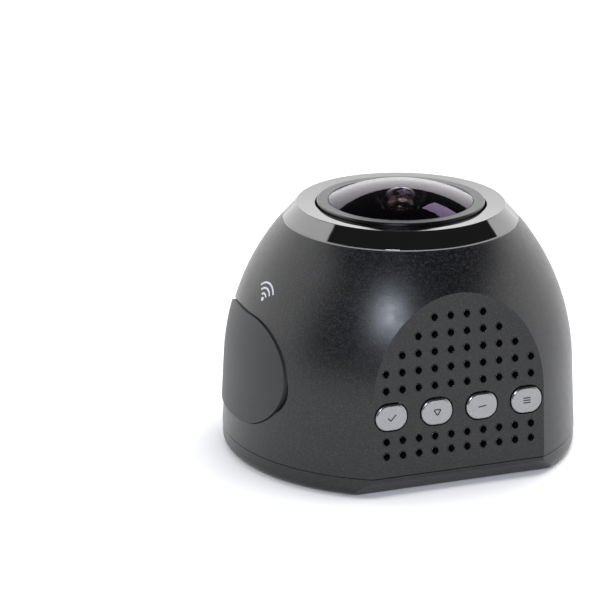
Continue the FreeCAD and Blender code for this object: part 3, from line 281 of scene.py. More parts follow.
def satin_plated_key(colour):
    """Moulded key plated with satin nickel: bright, softly blurred, finely pitted."""
    f = Finish("satin_nickel_plate", Metallic=1.0)
    pits = f.noise(0.12, 2.0)
    return f.wire(
        Base_Color=f.mix(f.noise(0.9), colour, [c * 0.88 for c in colour[:3]] + [1.0]),
        Roughness=f.ramp(pits, at=(0.3, 0.7), to=(0.20, 0.30)),
        Normal=f.bump(pits, 0.002),
    )


def plated_steel(name, dark, light, roughness):
    """Stamped or headed steel with a thin bright plating and a slight yellow-blue cast."""
    f = Finish(name, Metallic=1.0)
    cast = f.noise(1.4, 3.0)
    return f.wire(
        Base_Color=f.mix(cast, dark, light),
        Roughness=f.ramp(f.noise(0.25), at=(0.3, 0.7), to=(roughness - 0.05, roughness + 0.07)),
        Normal=f.bump(f.noise(0.1), 0.003),
    )


def turned_brass():
    """Brass turned from bar: warm and bright, with tool lines round it every 0.12 mm of height."""
    f = Finish("brass_turned", Metallic=1.0)
    inputs = {"Vector": f.place, "Scale": math.tau / 20 * per_mm(0.12)}
    lines = f.add("ShaderNodeTexWave", inputs, bands_direction="Z").outputs[1]
    return f.wire(
        Base_Color=f.mix(f.noise(2.0), "#b08d4c", "#cdb06e"),
        Roughness=f.ramp(lines, at=(0.0, 1.0), to=(0.22, 0.34)),
        Normal=f.bump(lines, 0.004),
    )


def solder_mask_board():
    """Glass-epoxy circuit board under green solder mask: copper tracks show as paler raised lines."""
    f = Finish("fr4_green_solder_mask", IOR=1.52)
    flat = f.add("ShaderNodeMapping", {"Vector": f.place, "Scale": (1.0, 1.0, 0.0)}).outputs[0]
    inputs = {
        "Vector": flat, "Scale": per_mm(1.0), "Mortar Size": 0.07, "Brick Width": 2.6,
        "Row Height": 0.7, "Color1": (0, 0, 0, 1), "Color2": (0, 0, 0, 1), "Mortar": (1, 1, 1, 1),
    }
    tracks = f.add("ShaderNodeTexBrick", inputs, offset=0.37, squash=1.4).outputs[0]
    dots = f.add("ShaderNodeTexVoronoi", {"Vector": flat, "Scale": per_mm(2.1)}).outputs["Distance"]
    pads = f.ramp(dots, at=(0.14, 0.17), to=(1.0, 0.0))
    mask = f.mix(tracks, "#0c3b22", "#1c5c38")
    return f.wire(
        Base_Color=f.mix(pads, mask, "#c9a352"),
        Metallic=f.ramp(pads, at=(0.0, 1.0), to=(0.0, 0.9)),
        Roughness=f.ramp(f.noise(0.6), at=(0.3, 0.7), to=(0.25, 0.38)),
        Normal=f.bump(tracks, 0.02),
    )


def milled_aluminium():
    """Milled aluminium: straight cutter marks along the fins."""
    f = Finish("aluminium_milled", Metallic=1.0)
    marks = f.noise(0.5, 2.0, stretch=(0.08, 1.6, 1.6))
    return f.wire(
        Base_Color=f.mix(marks, "#9fa1a4", "#c3c5c8"),
        Roughness=f.ramp(marks, at=(0.3, 0.7), to=(0.25, 0.42)),
        Normal=f.bump(marks, 0.01),
    )


def foil_pouch():
    """Laminated foil of a flat cell: bright grey with soft creases."""
    f = Finish("aluminium_laminate_pouch", Metallic=0.9)
    creases = f.noise(2.2, 5.0)
    return f.wire(
        Base_Color=f.mix(creases, "#8d8f92", "#b4b6b9"),
        Roughness=f.ramp(creases, at=(0.3, 0.7), to=(0.28, 0.45)),
        Normal=f.bump(creases, 0.12),
    )


def etched_copper():
    """Etched copper film, lightly tarnished."""
    f = Finish("copper_film_etched", Metallic=1.0)
    tarnish = f.noise(3.0, 4.0)
    return f.wire(
        Base_Color=f.mix(tarnish, "#a9633f", "#c98a62"),
        Roughness=f.ramp(tarnish, at=(0.3, 0.7), to=(0.25, 0.45)),
        Normal=f.bump(f.noise(0.4), 0.004),
    )


def screen_ink(name, dark, light):
    """Pad-printed ink: matte, with a little mottle where it took less well."""
    f = Finish(name, IOR=1.48)
    mottle = f.noise(0.12, 3.0)
    return f.wire(
        Base_Color=f.mix(mottle, dark, light),
        Roughness=f.ramp(mottle, at=(0.3, 0.7), to=(0.5, 0.65)),
        Normal=f.bump(mottle, 0.003),
    )


def seamless_paper(colour):
    """White seamless backdrop paper: no gloss, a barely visible tooth, lit until it is nearly white."""
    f = Finish("white_backdrop_paper", IOR=1.4, Emission_Color=linear("#ffffff"), Emission_Strength=0.08)
    tooth = f.noise(2.0, 3.0)
    return f.wire(
        Base_Color=f.mix(tooth, colour, [c * 0.99 for c in colour[:3]] + [1.0]),
        Roughness=f.ramp(tooth, at=(0.3, 0.7), to=(0.9, 1.0)),
        Normal=f.bump(tooth, 0.01),
    )


def dress(material, *names):
    """Give CAD nodes a material in all their slots."""
    for name in names:
        for slot in NODES[name].material_slots:
            slot.material = material


# ---------------------------------------------------------------- places

def surface_of(*names):
    """Search tree over the surfaces of CAD nodes."""
    corners = []
    faces = []
    for name in names:
        mesh = NODES[name].data
        start = len(corners)
        corners.extend(v.co.copy() for v in mesh.vertices)
        faces.extend([start + index for index in face.vertices] for face in mesh.polygons)
    return BVHTree.FromPolygons(corners, faces)


def panel_axes():
    """Axes of the grille panel: along it, up it and out of it. The keys' joints run into it."""
    out = -Vector(JOINTS["button_1_press"]["axis"]).normalized()
    along = Vector((1.0, 0.0, 0.0))
    return along, out.cross(along), out


def panel_matrix(tree, point, lift=0.0):
    """Placement square to the panel, lift above what a ray meets that comes straight in towards point."""
    along, up, out = panel_axes()
    hit = tree.ray_cast(point + out * WELL_CLEAR, -out)[0]
    if hit is None:
        raise RuntimeError("the panel has nothing in front of this point")
    matrix = Matrix((along, up, out)).transposed().to_4x4()
    matrix.translation = hit + out * lift
    return matrix


# ---------------------------------------------------------------- geometry node trees

def node_tree(name, sockets):
    """Empty geometry tree with named inputs. A socket is (name, type, default)."""
    tree = bpy.data.node_groups.new(name, "GeometryNodeTree")
    for label, kind, default in sockets:
        socket = tree.interface.new_socket(name=label, in_out="INPUT", socket_type="NodeSocket" + kind)
        if default is not None:
            socket.default_value = default
    tree.interface.new_socket(name="Geometry", in_out="OUTPUT", socket_type="NodeSocketGeometry")
    inputs = add_node(tree, "NodeGroupInput").outputs
    return tree, inputs


def maths(tree, operation, first, second=0.0):
    """Output of a Math node."""
    return add_node(tree, "ShaderNodeMath", {0: first, 1: second}, operation=operation).outputs[0]


def close_tree(tree, geometry, material_socket):
    """End a tree with Realize Instances and Set Material."""
    real = add_node(tree, "GeometryNodeRealizeInstances", {0: geometry}).outputs[0]
    painted = add_node(tree, "GeometryNodeSetMaterial", {"Geometry": real, "Material": material_socket})
    add_node(tree, "NodeGroupOutput", {0: painted.outputs[0]})


def grown(name, tree, values, matrix):
    """Plain mesh object grown by a tree on an empty mesh at matrix, with its place put into its mesh."""
    seed = bpy.data.objects.new(name + "_seed", bpy.data.meshes.new(name + "_seed"))
    bpy.context.scene.collection.objects.link(seed)
    seed.matrix_world = matrix
    modifier = seed.modifiers.new("grow", "NODES")
    modifier.node_group = tree
    for item in tree.interface.items_tree:
        if item.item_type == "SOCKET" and item.in_out == "INPUT" and item.name in values:
            modifier[item.identifier] = values[item.name]
    bpy.context.view_layer.update()
    ready = seed.evaluated_get(bpy.context.evaluated_depsgraph_get())
    mesh = bpy.data.meshes.new_from_object(ready)
    bpy.data.objects.remove(seed)
    if not mesh.polygons:
        raise RuntimeError(name + ": the tree grew nothing")
    mesh.transform(matrix)
    return finished(name, mesh)


def finished(name, mesh):
    """Object for a mesh whose place is in its vertices."""
    mesh.name = name
    piece = bpy.data.objects.new(name, mesh)
    bpy.context.scene.collection.objects.link(piece)
    return piece


def rim_tree():
    """A raised lip at every hole of the grille: a trapezium of rows and a lower band of rows."""
    tree, given = node_tree("grille_rims", [
        ("Hole radius", "Float", 0.54 * MM),
        ("Lip radius", "Float", 0.05 * MM),
        ("Pitch", "Float", 2.5 * MM),
        ("Row pitch", "Float", 2.5 * MM),
        ("Columns", "Int", 10),
        ("Upper rows", "Int", 5),
        ("Lower rows", "Int", 2),
        ("Lower pitch", "Float", 2.19 * MM),
        ("Lower centre", "Float", -8.595 * MM),
        ("Material", "Material", None),
    ])
    gaps = maths(tree, "SUBTRACT", given["Columns"], 1.0)
    width = maths(tree, "MULTIPLY", gaps, given["Pitch"])
    upper_gaps = maths(tree, "SUBTRACT", given["Upper rows"], 1.0)
    upper_height = maths(tree, "MULTIPLY", upper_gaps, given["Row pitch"])
    upper_size = {"Size X": width, "Size Y": upper_height, "Vertices X": given["Columns"]}
    upper = add_node(tree, "GeometryNodeMeshGrid", {**upper_size, "Vertices Y": given["Upper rows"]})
    half_height = maths(tree, "MULTIPLY", upper_height, 0.5)
    lifted = add_node(tree, "ShaderNodeCombineXYZ", {"Y": half_height}).outputs[0]
    upper = add_node(tree, "GeometryNodeTransform", {"Geometry": upper.outputs[0], "Translation": lifted})
    # From the second row up, each row has one hole fewer at each end.
    position = add_node(tree, "GeometryNodeInputPosition").outputs[0]
    where = add_node(tree, "ShaderNodeSeparateXYZ", {0: position})
    row = maths(tree, "DIVIDE", where.outputs["Y"], given["Row pitch"])
    columns_half = maths(tree, "MULTIPLY", gaps, 0.5)
    tapered = maths(tree, "SUBTRACT", maths(tree, "ADD", columns_half, 1.0), row)
    allowed = maths(tree, "ADD", maths(tree, "MINIMUM", columns_half, tapered), 0.25)
    column = maths(tree, "DIVIDE", maths(tree, "ABSOLUTE", where.outputs["X"]), given["Pitch"])
    outside = maths(tree, "GREATER_THAN", column, allowed)
    kept = add_node(tree, "GeometryNodeDeleteGeometry", {"Geometry": upper.outputs[0], "Selection": outside})
    lower_gaps = maths(tree, "SUBTRACT", given["Lower rows"], 1.0)
    lower_size = {
        "Size X": width, "Size Y": maths(tree, "MULTIPLY", lower_gaps, given["Lower pitch"]),
        "Vertices X": given["Columns"], "Vertices Y": given["Lower rows"],
    }
    lower = add_node(tree, "GeometryNodeMeshGrid", lower_size)
    dropped = add_node(tree, "ShaderNodeCombineXYZ", {"Y": given["Lower centre"]}).outputs[0]
    lower = add_node(tree, "GeometryNodeTransform", {"Geometry": lower.outputs[0], "Translation": dropped})
    places = add_node(tree, "GeometryNodeJoinGeometry")
    for part in (lower, kept):
        tree.links.new(part.outputs[0], places.inputs[0])
    lip_r = maths(tree, "ADD", given["Hole radius"], maths(tree, "MULTIPLY", given["Lip radius"], 0.4))
    circle = add_node(tree, "GeometryNodeCurvePrimitiveCircle", {"Resolution": 28, "Radius": lip_r})
    section = add_node(tree, "GeometryNodeCurvePrimitiveCircle", {
        "Resolution": 8, "Radius": given["Lip radius"],
    })
    lip = add_node(tree, "GeometryNodeCurveToMesh", {0: circle.outputs[0], 1: section.outputs[0]})
    rims = add_node(tree, "GeometryNodeInstanceOnPoints", {
        "Points": places.outputs[0], "Instance": lip.outputs[0],
    })
    close_tree(tree, rims.outputs[0], given["Material"])
    return tree


def wave_tree():
    """Printed radio-wave sign: a dot and arcs over it at equal steps, laid on the surface of a body."""
    tree, given = node_tree("wave_mark", [
        ("Body", "Object", None),
        ("Arcs", "Int", 3),
        ("Step", "Float", 0.8 * MM),
        ("Stroke", "Float", 0.3 * MM),
        ("Ink", "Float", 0.02 * MM),
        ("Start", "Float", 0.0),
        ("Sweep", "Float", 1.8),
        ("Material", "Material", None),
    ])
    seats = add_node(tree, "GeometryNodeMeshLine", {"Count": given["Arcs"], "Offset": (0.0, 0.0, 0.0)})
    arc = add_node(tree, "GeometryNodeCurveArc", {
        "Resolution": 36, "Radius": 1.0, "Start Angle": given["Start"], "Sweep Angle": given["Sweep"],
    })
    index = add_node(tree, "GeometryNodeInputIndex").outputs[0]
    radius = maths(tree, "MULTIPLY", maths(tree, "ADD", index, 1.0), given["Step"])
    size = add_node(tree, "ShaderNodeCombineXYZ", {"X": radius, "Y": radius, "Z": radius}).outputs[0]
    arcs = add_node(tree, "GeometryNodeInstanceOnPoints", {
        "Points": seats.outputs[0], "Instance": arc.outputs[0], "Scale": size,
    })
    curves = add_node(tree, "GeometryNodeRealizeInstances", {0: arcs.outputs[0]})
    level = add_node(tree, "GeometryNodeSetCurveNormal", {"Curve": curves.outputs[0]}, mode="Z_UP")
    band = add_node(tree, "GeometryNodeCurvePrimitiveQuadrilateral", {0: given["Stroke"], 1: given["Ink"]})
    strokes = add_node(tree, "GeometryNodeCurveToMesh", {
        0: level.outputs[0], 1: band.outputs[0], "Fill Caps": True,
    })
    dot_r = maths(tree, "MULTIPLY", given["Stroke"], 1.05)
    dot = add_node(tree, "GeometryNodeMeshCylinder", {
        "Vertices": 24, "Radius": dot_r, "Depth": given["Ink"], "Side Segments": 1, "Fill Segments": 4,
    })
    flat = add_node(tree, "GeometryNodeJoinGeometry")
    for part in (dot, strokes):
        tree.links.new(part.outputs[0], flat.inputs[0])
    body = add_node(tree, "GeometryNodeObjectInfo", {"Object": given["Body"]}, transform_space="RELATIVE")
    position = add_node(tree, "GeometryNodeInputPosition").outputs[0]
    where = add_node(tree, "ShaderNodeSeparateXYZ", {0: position})
    above = add_node(tree, "ShaderNodeCombineXYZ", {
        "X": where.outputs["X"], "Y": where.outputs["Y"], "Z": 3 * MM,
    }).outputs[0]
    ray = add_node(tree, "GeometryNodeRaycast", {
        "Target Geometry": body.outputs["Geometry"], "Source Position": above,
        "Ray Direction": (0.0, 0.0, -1.0), "Ray Length": 8 * MM,
    })
    lift = maths(tree, "ADD", where.outputs["Z"], maths(tree, "MULTIPLY", given["Ink"], 0.3))
    off = add_node(tree, "ShaderNodeVectorMath", {
        0: ray.outputs["Hit Normal"], "Scale": lift,
    }, operation="SCALE").outputs[0]
    landed = add_node(tree, "ShaderNodeVectorMath", {
        0: ray.outputs["Hit Position"], 1: off,
    }, operation="ADD").outputs[0]
    laid = add_node(tree, "GeometryNodeSetPosition", {"Geometry": flat.outputs[0], "Position": landed})
    close_tree(tree, laid.outputs[0], given["Material"])
    return tree


# ---------------------------------------------------------------- key signs

def stroke(points, width):
    """Closed outline of a line of constant width through points."""
    left = []
    right = []
    for index, point in enumerate(points):
        before = points[max(index - 1, 0)]
        after = points[min(index + 1, len(points) - 1)]
        back = (point - before).normalized() if index else (after - point).normalized()
        ahead = (after - point).normalized() if index < len(points) - 1 else back
        across = (back + ahead).normalized().orthogonal()
        reach = width / 2 / max(0.4, across.dot(ahead.orthogonal()))
        left.append(point + across * reach)
        right.append(point - across * reach)
    return left + right[::-1]


def sign_plate(name, outlines, thickness, material, matrix):
    """Thin closed plates with these outlines, placed by matrix."""
    shape = bmesh.new()
    for outline in outlines:
        corners = [shape.verts.new((x, y, 0.0)) for x, y in outline]
        face = shape.faces.new(corners)
        if face.calc_area() and face.normal.z < 0:
            face.normal_flip()
        grown_up = bmesh.ops.extrude_face_region(shape, geom=[face])["geom"]
        top = [part for part in grown_up if isinstance(part, bmesh.types.BMVert)]
        bmesh.ops.translate(shape, verts=top, vec=(0.0, 0.0, thickness))
    bmesh.ops.recalc_face_normals(shape, faces=shape.faces)
    shape.transform(matrix)
    mesh = bpy.data.meshes.new(name)
    shape.to_mesh(mesh)
    shape.free()
    mesh.materials.append(material)
    return finished(name, mesh)


def key_signs(size, width):
    """Outlines of the four keys' signs: a tick, a triangle, a bar and three lines."""
    tick = [Vector(p) * size for p in ((-0.62, 0.02), (-0.18, -0.40), (0.66, 0.46))]
    corners = [Vector(p) * size for p in ((-0.55, 0.36), (0.55, 0.36), (0.0, -0.52))]
    sides = [
        [corners[i].lerp(corners[i - 1], 0.04), corners[i - 1].lerp(corners[i], 0.04)] for i in range(3)
    ]
    bar = [Vector((-0.62, -0.06)) * size, Vector((0.62, 0.06)) * size]
    lines = [[Vector((-0.55, y)) * size, Vector((0.55, y)) * size] for y in (-0.36, 0.0, 0.36)]
    return [[stroke(line, width) for line in sign] for sign in ([tick], sides, [bar], lines)]


# ---------------------------------------------------------------- settings

def colour(name, description, hex_code):
    """Colour property with an sRGB hex default."""
    return bpy.props.FloatVectorProperty(
        name=name, description=description, subtype="COLOR", size=4, min=0.0, max=1.0,
        default=linear(hex_code),
    )


def length(name, description, default_mm):
    """Length property with its default given in millimetres."""
    return bpy.props.FloatProperty(
        name=name, description=description, default=default_mm * MM, min=0.0,
        subtype="DISTANCE", unit="LENGTH", precision=5,
    )


class DashcamFinishSettings(bpy.types.PropertyGroup):
    """Colours of the surfaces that show."""

    shell: colour("Shell", "Paint of the dome and the base plate", "#08080a")
    fleck: colour("Fleck", "Metal flakes in the shell's paint", "#9a9ea6")
    flap: colour("Flap", "Plastic of the port flap", "#1c1d1e")
    ring: colour("Ring", "Black chrome of the trim ring", "#737373")
    keys: colour("Keys", "Plating of the four keys", "#98999b")


class DashcamMarkSettings(bpy.types.PropertyGroup):
    """Sizes of the printed signs and the grille's lips."""

    lip: length("Lip radius", "Radius of the raised lip at each hole", 0.08)
    hole: length("Hole radius", "Radius of a grille hole", 0.54)
    pitch: length("Hole pitch", "Distance between the grille's holes", 2.5)
    first_row: bpy.props.FloatVectorProperty(
        name="First row", description="Middle of the lowest row of holes above the keys",
        subtype="TRANSLATION", unit="LENGTH", default=(0.0, -21.70 * MM, 15.83 * MM), precision=5,
    )
    sign: length("Key sign", "Half width of a key's sign", 1.0)
    sign_stroke: length("Key sign stroke", "Line width of a key's sign", 0.19)
    wave_step: length("Wave step", "Distance between the arcs of the radio sign", 0.82)
    wave_stroke: length("Wave stroke", "Line width of the radio sign", 0.3)
    wave_height: length("Wave height", "Height of the radio sign's dot above the ground", 25.22)
    wave_bearing: bpy.props.FloatProperty(
        name="Wave bearing", description="Direction of the radio sign from the body's axis, from +X",
        default=math.radians(187.35), subtype="ANGLE", unit="ROTATION",
    )
    wave_sweep: bpy.props.FloatProperty(
        name="Wave sweep", description="Angle that the radio sign's arcs span",
        default=math.radians(107.0), subtype="ANGLE", unit="ROTATION",
    )


class DashcamStageSettings(bpy.types.PropertyGroup):
    """Camera, floor and lights."""

    focal: bpy.props.FloatProperty(
        name="Focal length", description="Lens of the camera on a 36 mm sensor", default=210.16,
        min=10.0, unit="CAMERA",
    )
    distance: length("Distance", "From the camera to the point it aims at", 516.2)
    bearing: bpy.props.FloatProperty(
        name="Bearing", description="Direction the camera looks in, turned from +Y towards +X",
        default=math.radians(21.71), subtype="ANGLE", unit="ROTATION",
    )
    dip: bpy.props.FloatProperty(
        name="Dip", description="Angle the camera looks down by",
        default=math.radians(18.047), subtype="ANGLE", unit="ROTATION",
    )
    roll: bpy.props.FloatProperty(
        name="Roll", description="Turn of the camera about its own line of sight",
        default=math.radians(0.217), subtype="ANGLE", unit="ROTATION",
    )
    aim: bpy.props.FloatVectorProperty(
        name="Aim", description="Point in the middle of the frame", subtype="TRANSLATION", unit="LENGTH",
        default=(-13.09 * MM, 6.62 * MM, 21.02 * MM), precision=5,
    )
    floor: colour("Floor", "Backdrop paper", "#f4f4f4")
    walls: bpy.props.FloatProperty(
        name="Walls", description="Brightness of the studio's white walls", default=1.7, min=0.0,
    )
    ceiling: bpy.props.FloatProperty(
        name="Top light", description="Power of the soft light over the table", default=30.0, min=0.0,
        subtype="POWER", unit="POWER",
    )
    front: bpy.props.FloatProperty(
        name="Front light", description="Power of the small light beside the camera", default=2.6,
        min=0.0, subtype="POWER", unit="POWER",
    )


GROUPS = {
    "dashcam_finish": DashcamFinishSettings,
    "dashcam_marks": DashcamMarkSettings,
    "dashcam_stage": DashcamStageSettings,
}


# ---------------------------------------------------------------- operators

class DASHCAM_OT_shell(bpy.types.Operator):
    """Finish the dome, the base plate, the flap, the foot pad and the cloth behind the grille"""

    bl_idname = "dashcam.shell"
    bl_label = "Shell, flap and foot"

    def execute(self, context):
        chosen = context.scene.dashcam_finish
        dress(moulded_abs_flake(list(chosen.shell), list(chosen.fleck)), "dome_housing", "base_plate")
        dress(moulded_abs_matte(list(chosen.flap)), "port_cover")
        dress(closed_cell_foam(), "foot_pad", "battery_pad", "speaker_gasket")
        dress(woven_polyester(), "upper_mesh", "lower_mesh")
        return {"FINISHED"}


class DASHCAM_OT_lens(bpy.types.Operator):
    """Finish the trim ring, the bezel, the glass and the rest of the lens"""

    bl_idname = "dashcam.lens"
    bl_label = "Ring, bezel and lens"

    def execute(self, context):
        dress(black_chrome(list(context.scene.dashcam_finish.ring)), "trim_ring")
        dress(anodised_turned("aluminium_dark_anodised", "#4a4a4c", "#565658", 0.16, 0.30), "lens_bezel")
        barrel = anodised_turned("aluminium_black_anodised", "#17171a", "#222225", 0.25, 0.45)
        dress(barrel, "lens_barrel", "rear_lens_ring", "iris_stop")
        dress(coated_glass("optical_glass_violet_coat", "#dcd2dd", "#a98abf"), "front_lens")
        dress(coated_glass("optical_glass_amber_coat", "#5c5850", "#ffe9c8"), "second_lens")
        dress(coated_glass("optical_glass_magenta_coat", "#b09aa6", "#f06ab0"), "third_lens", "fourth_lens")
        dress(coated_glass("infrared_filter_glass", "#6fb7c4", "#d87a8c"), "ir_filter")
        spacer = moulded_plain("polycarbonate_moulded_black", "#0a0a0b", "#141416", 0.3, 0.6)
        dress(spacer, "lens_spacer", "lens_holder", "connector_lower", "connector_upper")
        dress(spacer, "speaker_clamp", "speaker", "reset_rod", "reset_switch")
        dress(moulded_rubber(), "lens_seal")
        return {"FINISHED"}


class DASHCAM_OT_keys(bpy.types.Operator):
    """Finish the four keys and their switches"""

    bl_idname = "dashcam.keys"
    bl_label = "Keys and switches"

    def execute(self, context):
        dress(satin_plated_key(list(context.scene.dashcam_finish.keys)), *BUTTONS)
        switch = moulded_plain("nylon_moulded_grey", "#2c2c2e", "#3a3a3d", 0.25, 0.5)
        dress(switch, "tact_switches", *("switch_plunger_" + name[-1] for name in BUTTONS))
        return {"FINISHED"}


class DASHCAM_OT_insides(bpy.types.Operator):
    """Finish the boards, chips, sockets, cell, screws and the rest of what is inside"""

    bl_idname = "dashcam.insides"
    bl_label = "Boards and fixings"

    def execute(self, context):
        dress(solder_mask_board(), "sensor_board", "main_board", "button_board")
        chip = moulded_plain("epoxy_moulded_chip", "#17181a", "#202124", 0.2, 0.55)
        dress(chip, "processor", "memory_chip", "image_sensor")
        dress(milled_aluminium(), "heat_spreader")
        tinned = plated_steel("steel_stamped_tin_plated", "#a6a7a9", "#c4c5c6", 0.30)
        dress(tinned, "usb_socket", "card_socket", "microphone")
        zinc = plated_steel("steel_zinc_plated", "#9c9d9e", "#b9bab6", 0.26)
        screws = [name for name in NODES if name.endswith("_screws")]
        dress(zinc, "hinge_pin", *screws)
        dress(turned_brass(), "board_spacers")
        dress(moulded_plain("abs_moulded_card", "#131316", "#1d1d21", 0.22, 0.42), "memory_card")
        dress(foil_pouch(), "battery")
        dress(etched_copper(), "antenna")
        return {"FINISHED"}


class DASHCAM_OT_grille(bpy.types.Operator):
    """Add the moulded lip round each hole of the grille"""

    bl_idname = "dashcam.grille"
    bl_label = "Grille lips"

    def execute(self, context):
        marks = context.scene.dashcam_marks
        values = {
            "Hole radius": marks.hole, "Lip radius": marks.lip, "Pitch": marks.pitch,
            "Row pitch": marks.pitch,
            "Material": polished_edge(list(context.scene.dashcam_finish.shell)),
        }
        matrix = panel_matrix(surface_of("dome_housing"), Vector(marks.first_row))
        rims = grown("grille_rims", rim_tree(), values, matrix)
        rims.data.shade_smooth()
        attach(rims, "body")
        return {"FINISHED"}


# Direction of the middle of the radio sign's arcs: almost straight up from its dot.
WAVE_MIDDLE = math.radians(83.5)


class DASHCAM_OT_wave(bpy.types.Operator):
    """Print the radio-wave sign over the flap"""

    bl_idname = "dashcam.wave"
    bl_label = "Radio sign"

    def execute(self, context):
        marks = context.scene.dashcam_marks
        shell = surface_of("dome_housing")
        outward = Vector((math.cos(marks.wave_bearing), math.sin(marks.wave_bearing), 0.0))
        start = outward * 0.1 + Vector((0.0, 0.0, marks.wave_height))
        hit, normal = shell.ray_cast(start, -outward)[:2]
        if hit is None:
            raise RuntimeError("the radio sign's place is not on the shell")
        sideways = Vector((0.0, 0.0, 1.0)).cross(normal).normalized()
        matrix = Matrix((sideways, normal.cross(sideways), normal)).transposed().to_4x4()
        matrix.translation = hit
        ink = screen_ink("light_grey_pad_print", "#b4b5b8", "#d2d3d5")
        values = {
            "Body": NODES["dome_housing"], "Step": marks.wave_step, "Stroke": marks.wave_stroke,
            "Start": WAVE_MIDDLE - marks.wave_sweep / 2, "Sweep": marks.wave_sweep, "Material": ink,
        }
        sign = grown("wave_mark", wave_tree(), values, matrix)
        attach(sign, "body")
        return {"FINISHED"}


class DASHCAM_OT_signs(bpy.types.Operator):
    """Print a plain sign on each of the four keys"""

    bl_idname = "dashcam.signs"
    bl_label = "Key signs"

    def execute(self, context):
        marks = context.scene.dashcam_marks
        ink = screen_ink("dark_grey_pad_print", "#2b2b2d", "#3c3c3f")
        signs = key_signs(marks.sign, marks.sign_stroke)
        for name, outlines in zip(BUTTONS, signs):
            low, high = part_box(name)
            matrix = panel_matrix(surface_of(name), (low + high) / 2, lift=-0.005 * MM)
            sign = sign_plate("sign_" + name, outlines, 0.02 * MM, ink, matrix)
            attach(sign, name)
        return {"FINISHED"}


# Tops of the white walls as sines of the angle above the horizon, and the sideways directions they rise to.
LEFT_TOP, LEFT_SIDE = 0.72, -0.68
BACK_TOP = 0.42
RIGHT_TOP, RIGHT_SIDE = 0.515, 0.74
WALL_EDGE = 0.007
DARK_LEVEL = 0.03


def studio_walls(world, strength, bearing):
    """White walls behind and beside the table, lowest straight behind and highest on the left, under a dark
    ceiling and with a dark wall on the camera's side. The camera itself sees white."""
    world.use_nodes = True
    tree = world.node_tree
    tree.nodes.clear()
    way = add_node(tree, "ShaderNodeTexCoord").outputs["Generated"]
    ahead = (math.sin(bearing), math.cos(bearing), 0.0)
    aside = (math.cos(bearing), -math.sin(bearing), 0.0)
    depth, side = (
        add_node(tree, "ShaderNodeVectorMath", {0: way, 1: axis}, operation="DOT_PRODUCT").outputs["Value"]
        for axis in (ahead, aside)
    )
    height = add_node(tree, "ShaderNodeSeparateXYZ", {0: way}).outputs["Z"]
    left = add_node(tree, "ShaderNodeMapRange", {0: side, 1: LEFT_SIDE, 2: 0.0, 3: LEFT_TOP, 4: BACK_TOP})
    right = add_node(tree, "ShaderNodeMapRange", {0: side, 1: 0.0, 2: RIGHT_SIDE, 3: BACK_TOP, 4: RIGHT_TOP})
    over = maths(tree, "SUBTRACT", height, maths(tree, "MAXIMUM", left.outputs[0], right.outputs[0]))
    edge = {0: over, 1: -WALL_EDGE, 2: WALL_EDGE, 3: 1.0, 4: 0.0}
    low = add_node(tree, "ShaderNodeMapRange", edge).outputs[0]
    back = add_node(tree, "ShaderNodeMapRange", {0: depth, 1: -0.55, 2: -0.15, 3: 0.0, 4: 1.0}).outputs[0]
    wall = maths(tree, "MAXIMUM", maths(tree, "MULTIPLY", low, back), DARK_LEVEL)
    glow = maths(tree, "MULTIPLY", wall, strength)
    seen = add_node(tree, "ShaderNodeLightPath").outputs["Is Camera Ray"]
    shown = add_node(tree, "ShaderNodeMix", {0: seen, 2: glow, 3: 1.0}).outputs[0]
    sky = add_node(tree, "ShaderNodeBackground", {"Color": (1.0, 1.0, 1.0, 1.0), "Strength": shown})
    add_node(tree, "ShaderNodeOutputWorld", {"Surface": sky.outputs[0]})


def soft_light(name, place, target, size, power, tint="#ffffff", glossy=True):
    """Square soft light that the camera doesn't see."""
    data = bpy.data.lights.new(name, "AREA")
    data.size = size
    data.energy = power
    data.color = linear(tint)[:3]
    lamp = bpy.data.objects.new(name, data)
    bpy.context.scene.collection.objects.link(lamp)
    lamp.location = place
    lamp.rotation_euler = (Vector(target) - Vector(place)).to_track_quat("-Z", "Y").to_euler()
    lamp.visible_camera = False
    lamp.visible_glossy = glossy
    return lamp


# Where the lights stand, in metres: to the right of the table, beyond it and above it, seen from the camera.
TOP_PLACE = (0.35, 0.25, 1.5)
# The front glass mirrors this one towards the camera near its right rim.
WINDOW_PLACE = (0.24, 0.50, 0.62)
# The shoulder left of the grille mirrors this one towards the camera.
FRONT_PLACE = (-0.10, -0.64, 0.42)


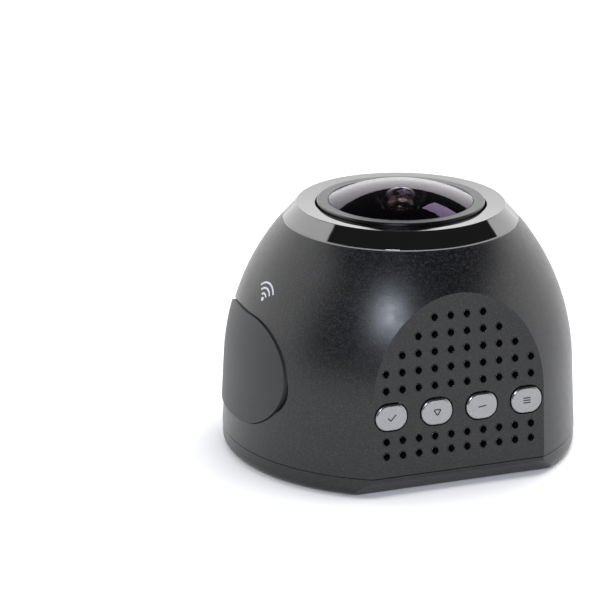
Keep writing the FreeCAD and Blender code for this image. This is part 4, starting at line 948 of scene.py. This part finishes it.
class DASHCAM_OT_stage(bpy.types.Operator):
    """Add the floor, the studio's lights and the camera"""

    bl_idname = "dashcam.stage"
    bl_label = "Stage and camera"

    def execute(self, context):
        stage = context.scene.dashcam_stage
        scene = context.scene
        scene.view_settings.view_transform = "Standard"
        turn = Matrix.Rotation(-stage.bearing, 3, "Z")
        shape = bmesh.new()
        bmesh.ops.create_circle(shape, cap_ends=True, segments=96, radius=2.2)
        mesh = bpy.data.meshes.new("floor")
        shape.to_mesh(mesh)
        shape.free()
        mesh.materials.append(seamless_paper(list(stage.floor)))
        finished("floor", mesh)
        world = bpy.data.worlds.new("studio")
        scene.world = world
        studio_walls(world, stage.walls, stage.bearing)
        top_place, window_place, front_place = (
            turn @ Vector(place) for place in (TOP_PLACE, WINDOW_PLACE, FRONT_PLACE)
        )
        soft_light("top_light", top_place, (0.0, 0.0, 0.0), 1.6, stage.ceiling, glossy=False)
        soft_light("window_light", window_place, (0.0, 0.0, 0.04), 0.17, 0.3, tint="#f0dcff")
        soft_light("front_light", front_place, (0.0, 0.0, 0.02), 0.16, stage.front, tint="#e6edfb")
        camera = bpy.data.objects.new("camera", bpy.data.cameras.new("camera"))
        scene.collection.objects.link(camera)
        camera.data.sensor_width = 36.0
        camera.data.lens = stage.focal
        camera.data.clip_start = 0.01
        camera.data.clip_end = 20.0
        look = Euler((math.pi / 2 - stage.dip, 0.0, -stage.bearing)).to_matrix()
        look = look @ Matrix.Rotation(stage.roll, 3, "Z")
        camera.matrix_world = Matrix.LocRotScale(
            Vector(stage.aim) + look @ Vector((0.0, 0.0, stage.distance)), look.to_quaternion(), None,
        )
        scene.camera = camera
        return {"FINISHED"}


OPERATORS = (
    DASHCAM_OT_shell, DASHCAM_OT_lens, DASHCAM_OT_keys, DASHCAM_OT_insides,
    DASHCAM_OT_grille, DASHCAM_OT_wave, DASHCAM_OT_signs, DASHCAM_OT_stage,
)


class DASHCAM_PT_panel(bpy.types.Panel):
    """Settings and steps of the dash camera"""

    bl_idname = "DASHCAM_PT_panel"
    bl_label = "Dash camera"
    bl_space_type = "VIEW_3D"
    bl_region_type = "UI"
    bl_category = "Dash camera"

    def draw(self, context):
        for group in GROUPS:
            box = self.layout.box()
            settings = getattr(context.scene, group)
            for name in settings.bl_rna.properties.keys():
                if name not in ("name", "rna_type"):
                    box.prop(settings, name)
        for operator in OPERATORS:
            self.layout.operator(operator.bl_idname)


CLASSES = (*GROUPS.values(), *OPERATORS, DASHCAM_PT_panel)


def register():
    """Register the classes and hang the settings on the scene."""
    for cls in CLASSES:
        bpy.utils.register_class(cls)
    for name, group in GROUPS.items():
        setattr(bpy.types.Scene, name, bpy.props.PointerProperty(type=group))


def unregister():
    """Take everything off again."""
    for name in GROUPS:
        delattr(bpy.types.Scene, name)
    for cls in reversed(CLASSES):
        bpy.utils.unregister_class(cls)


def main():
    """Run every step in order."""
    register()
    for operator in OPERATORS:
        area, step = operator.bl_idname.split(".")
        getattr(getattr(bpy.ops, area), step)()


if __name__ == "__main__":
    main()
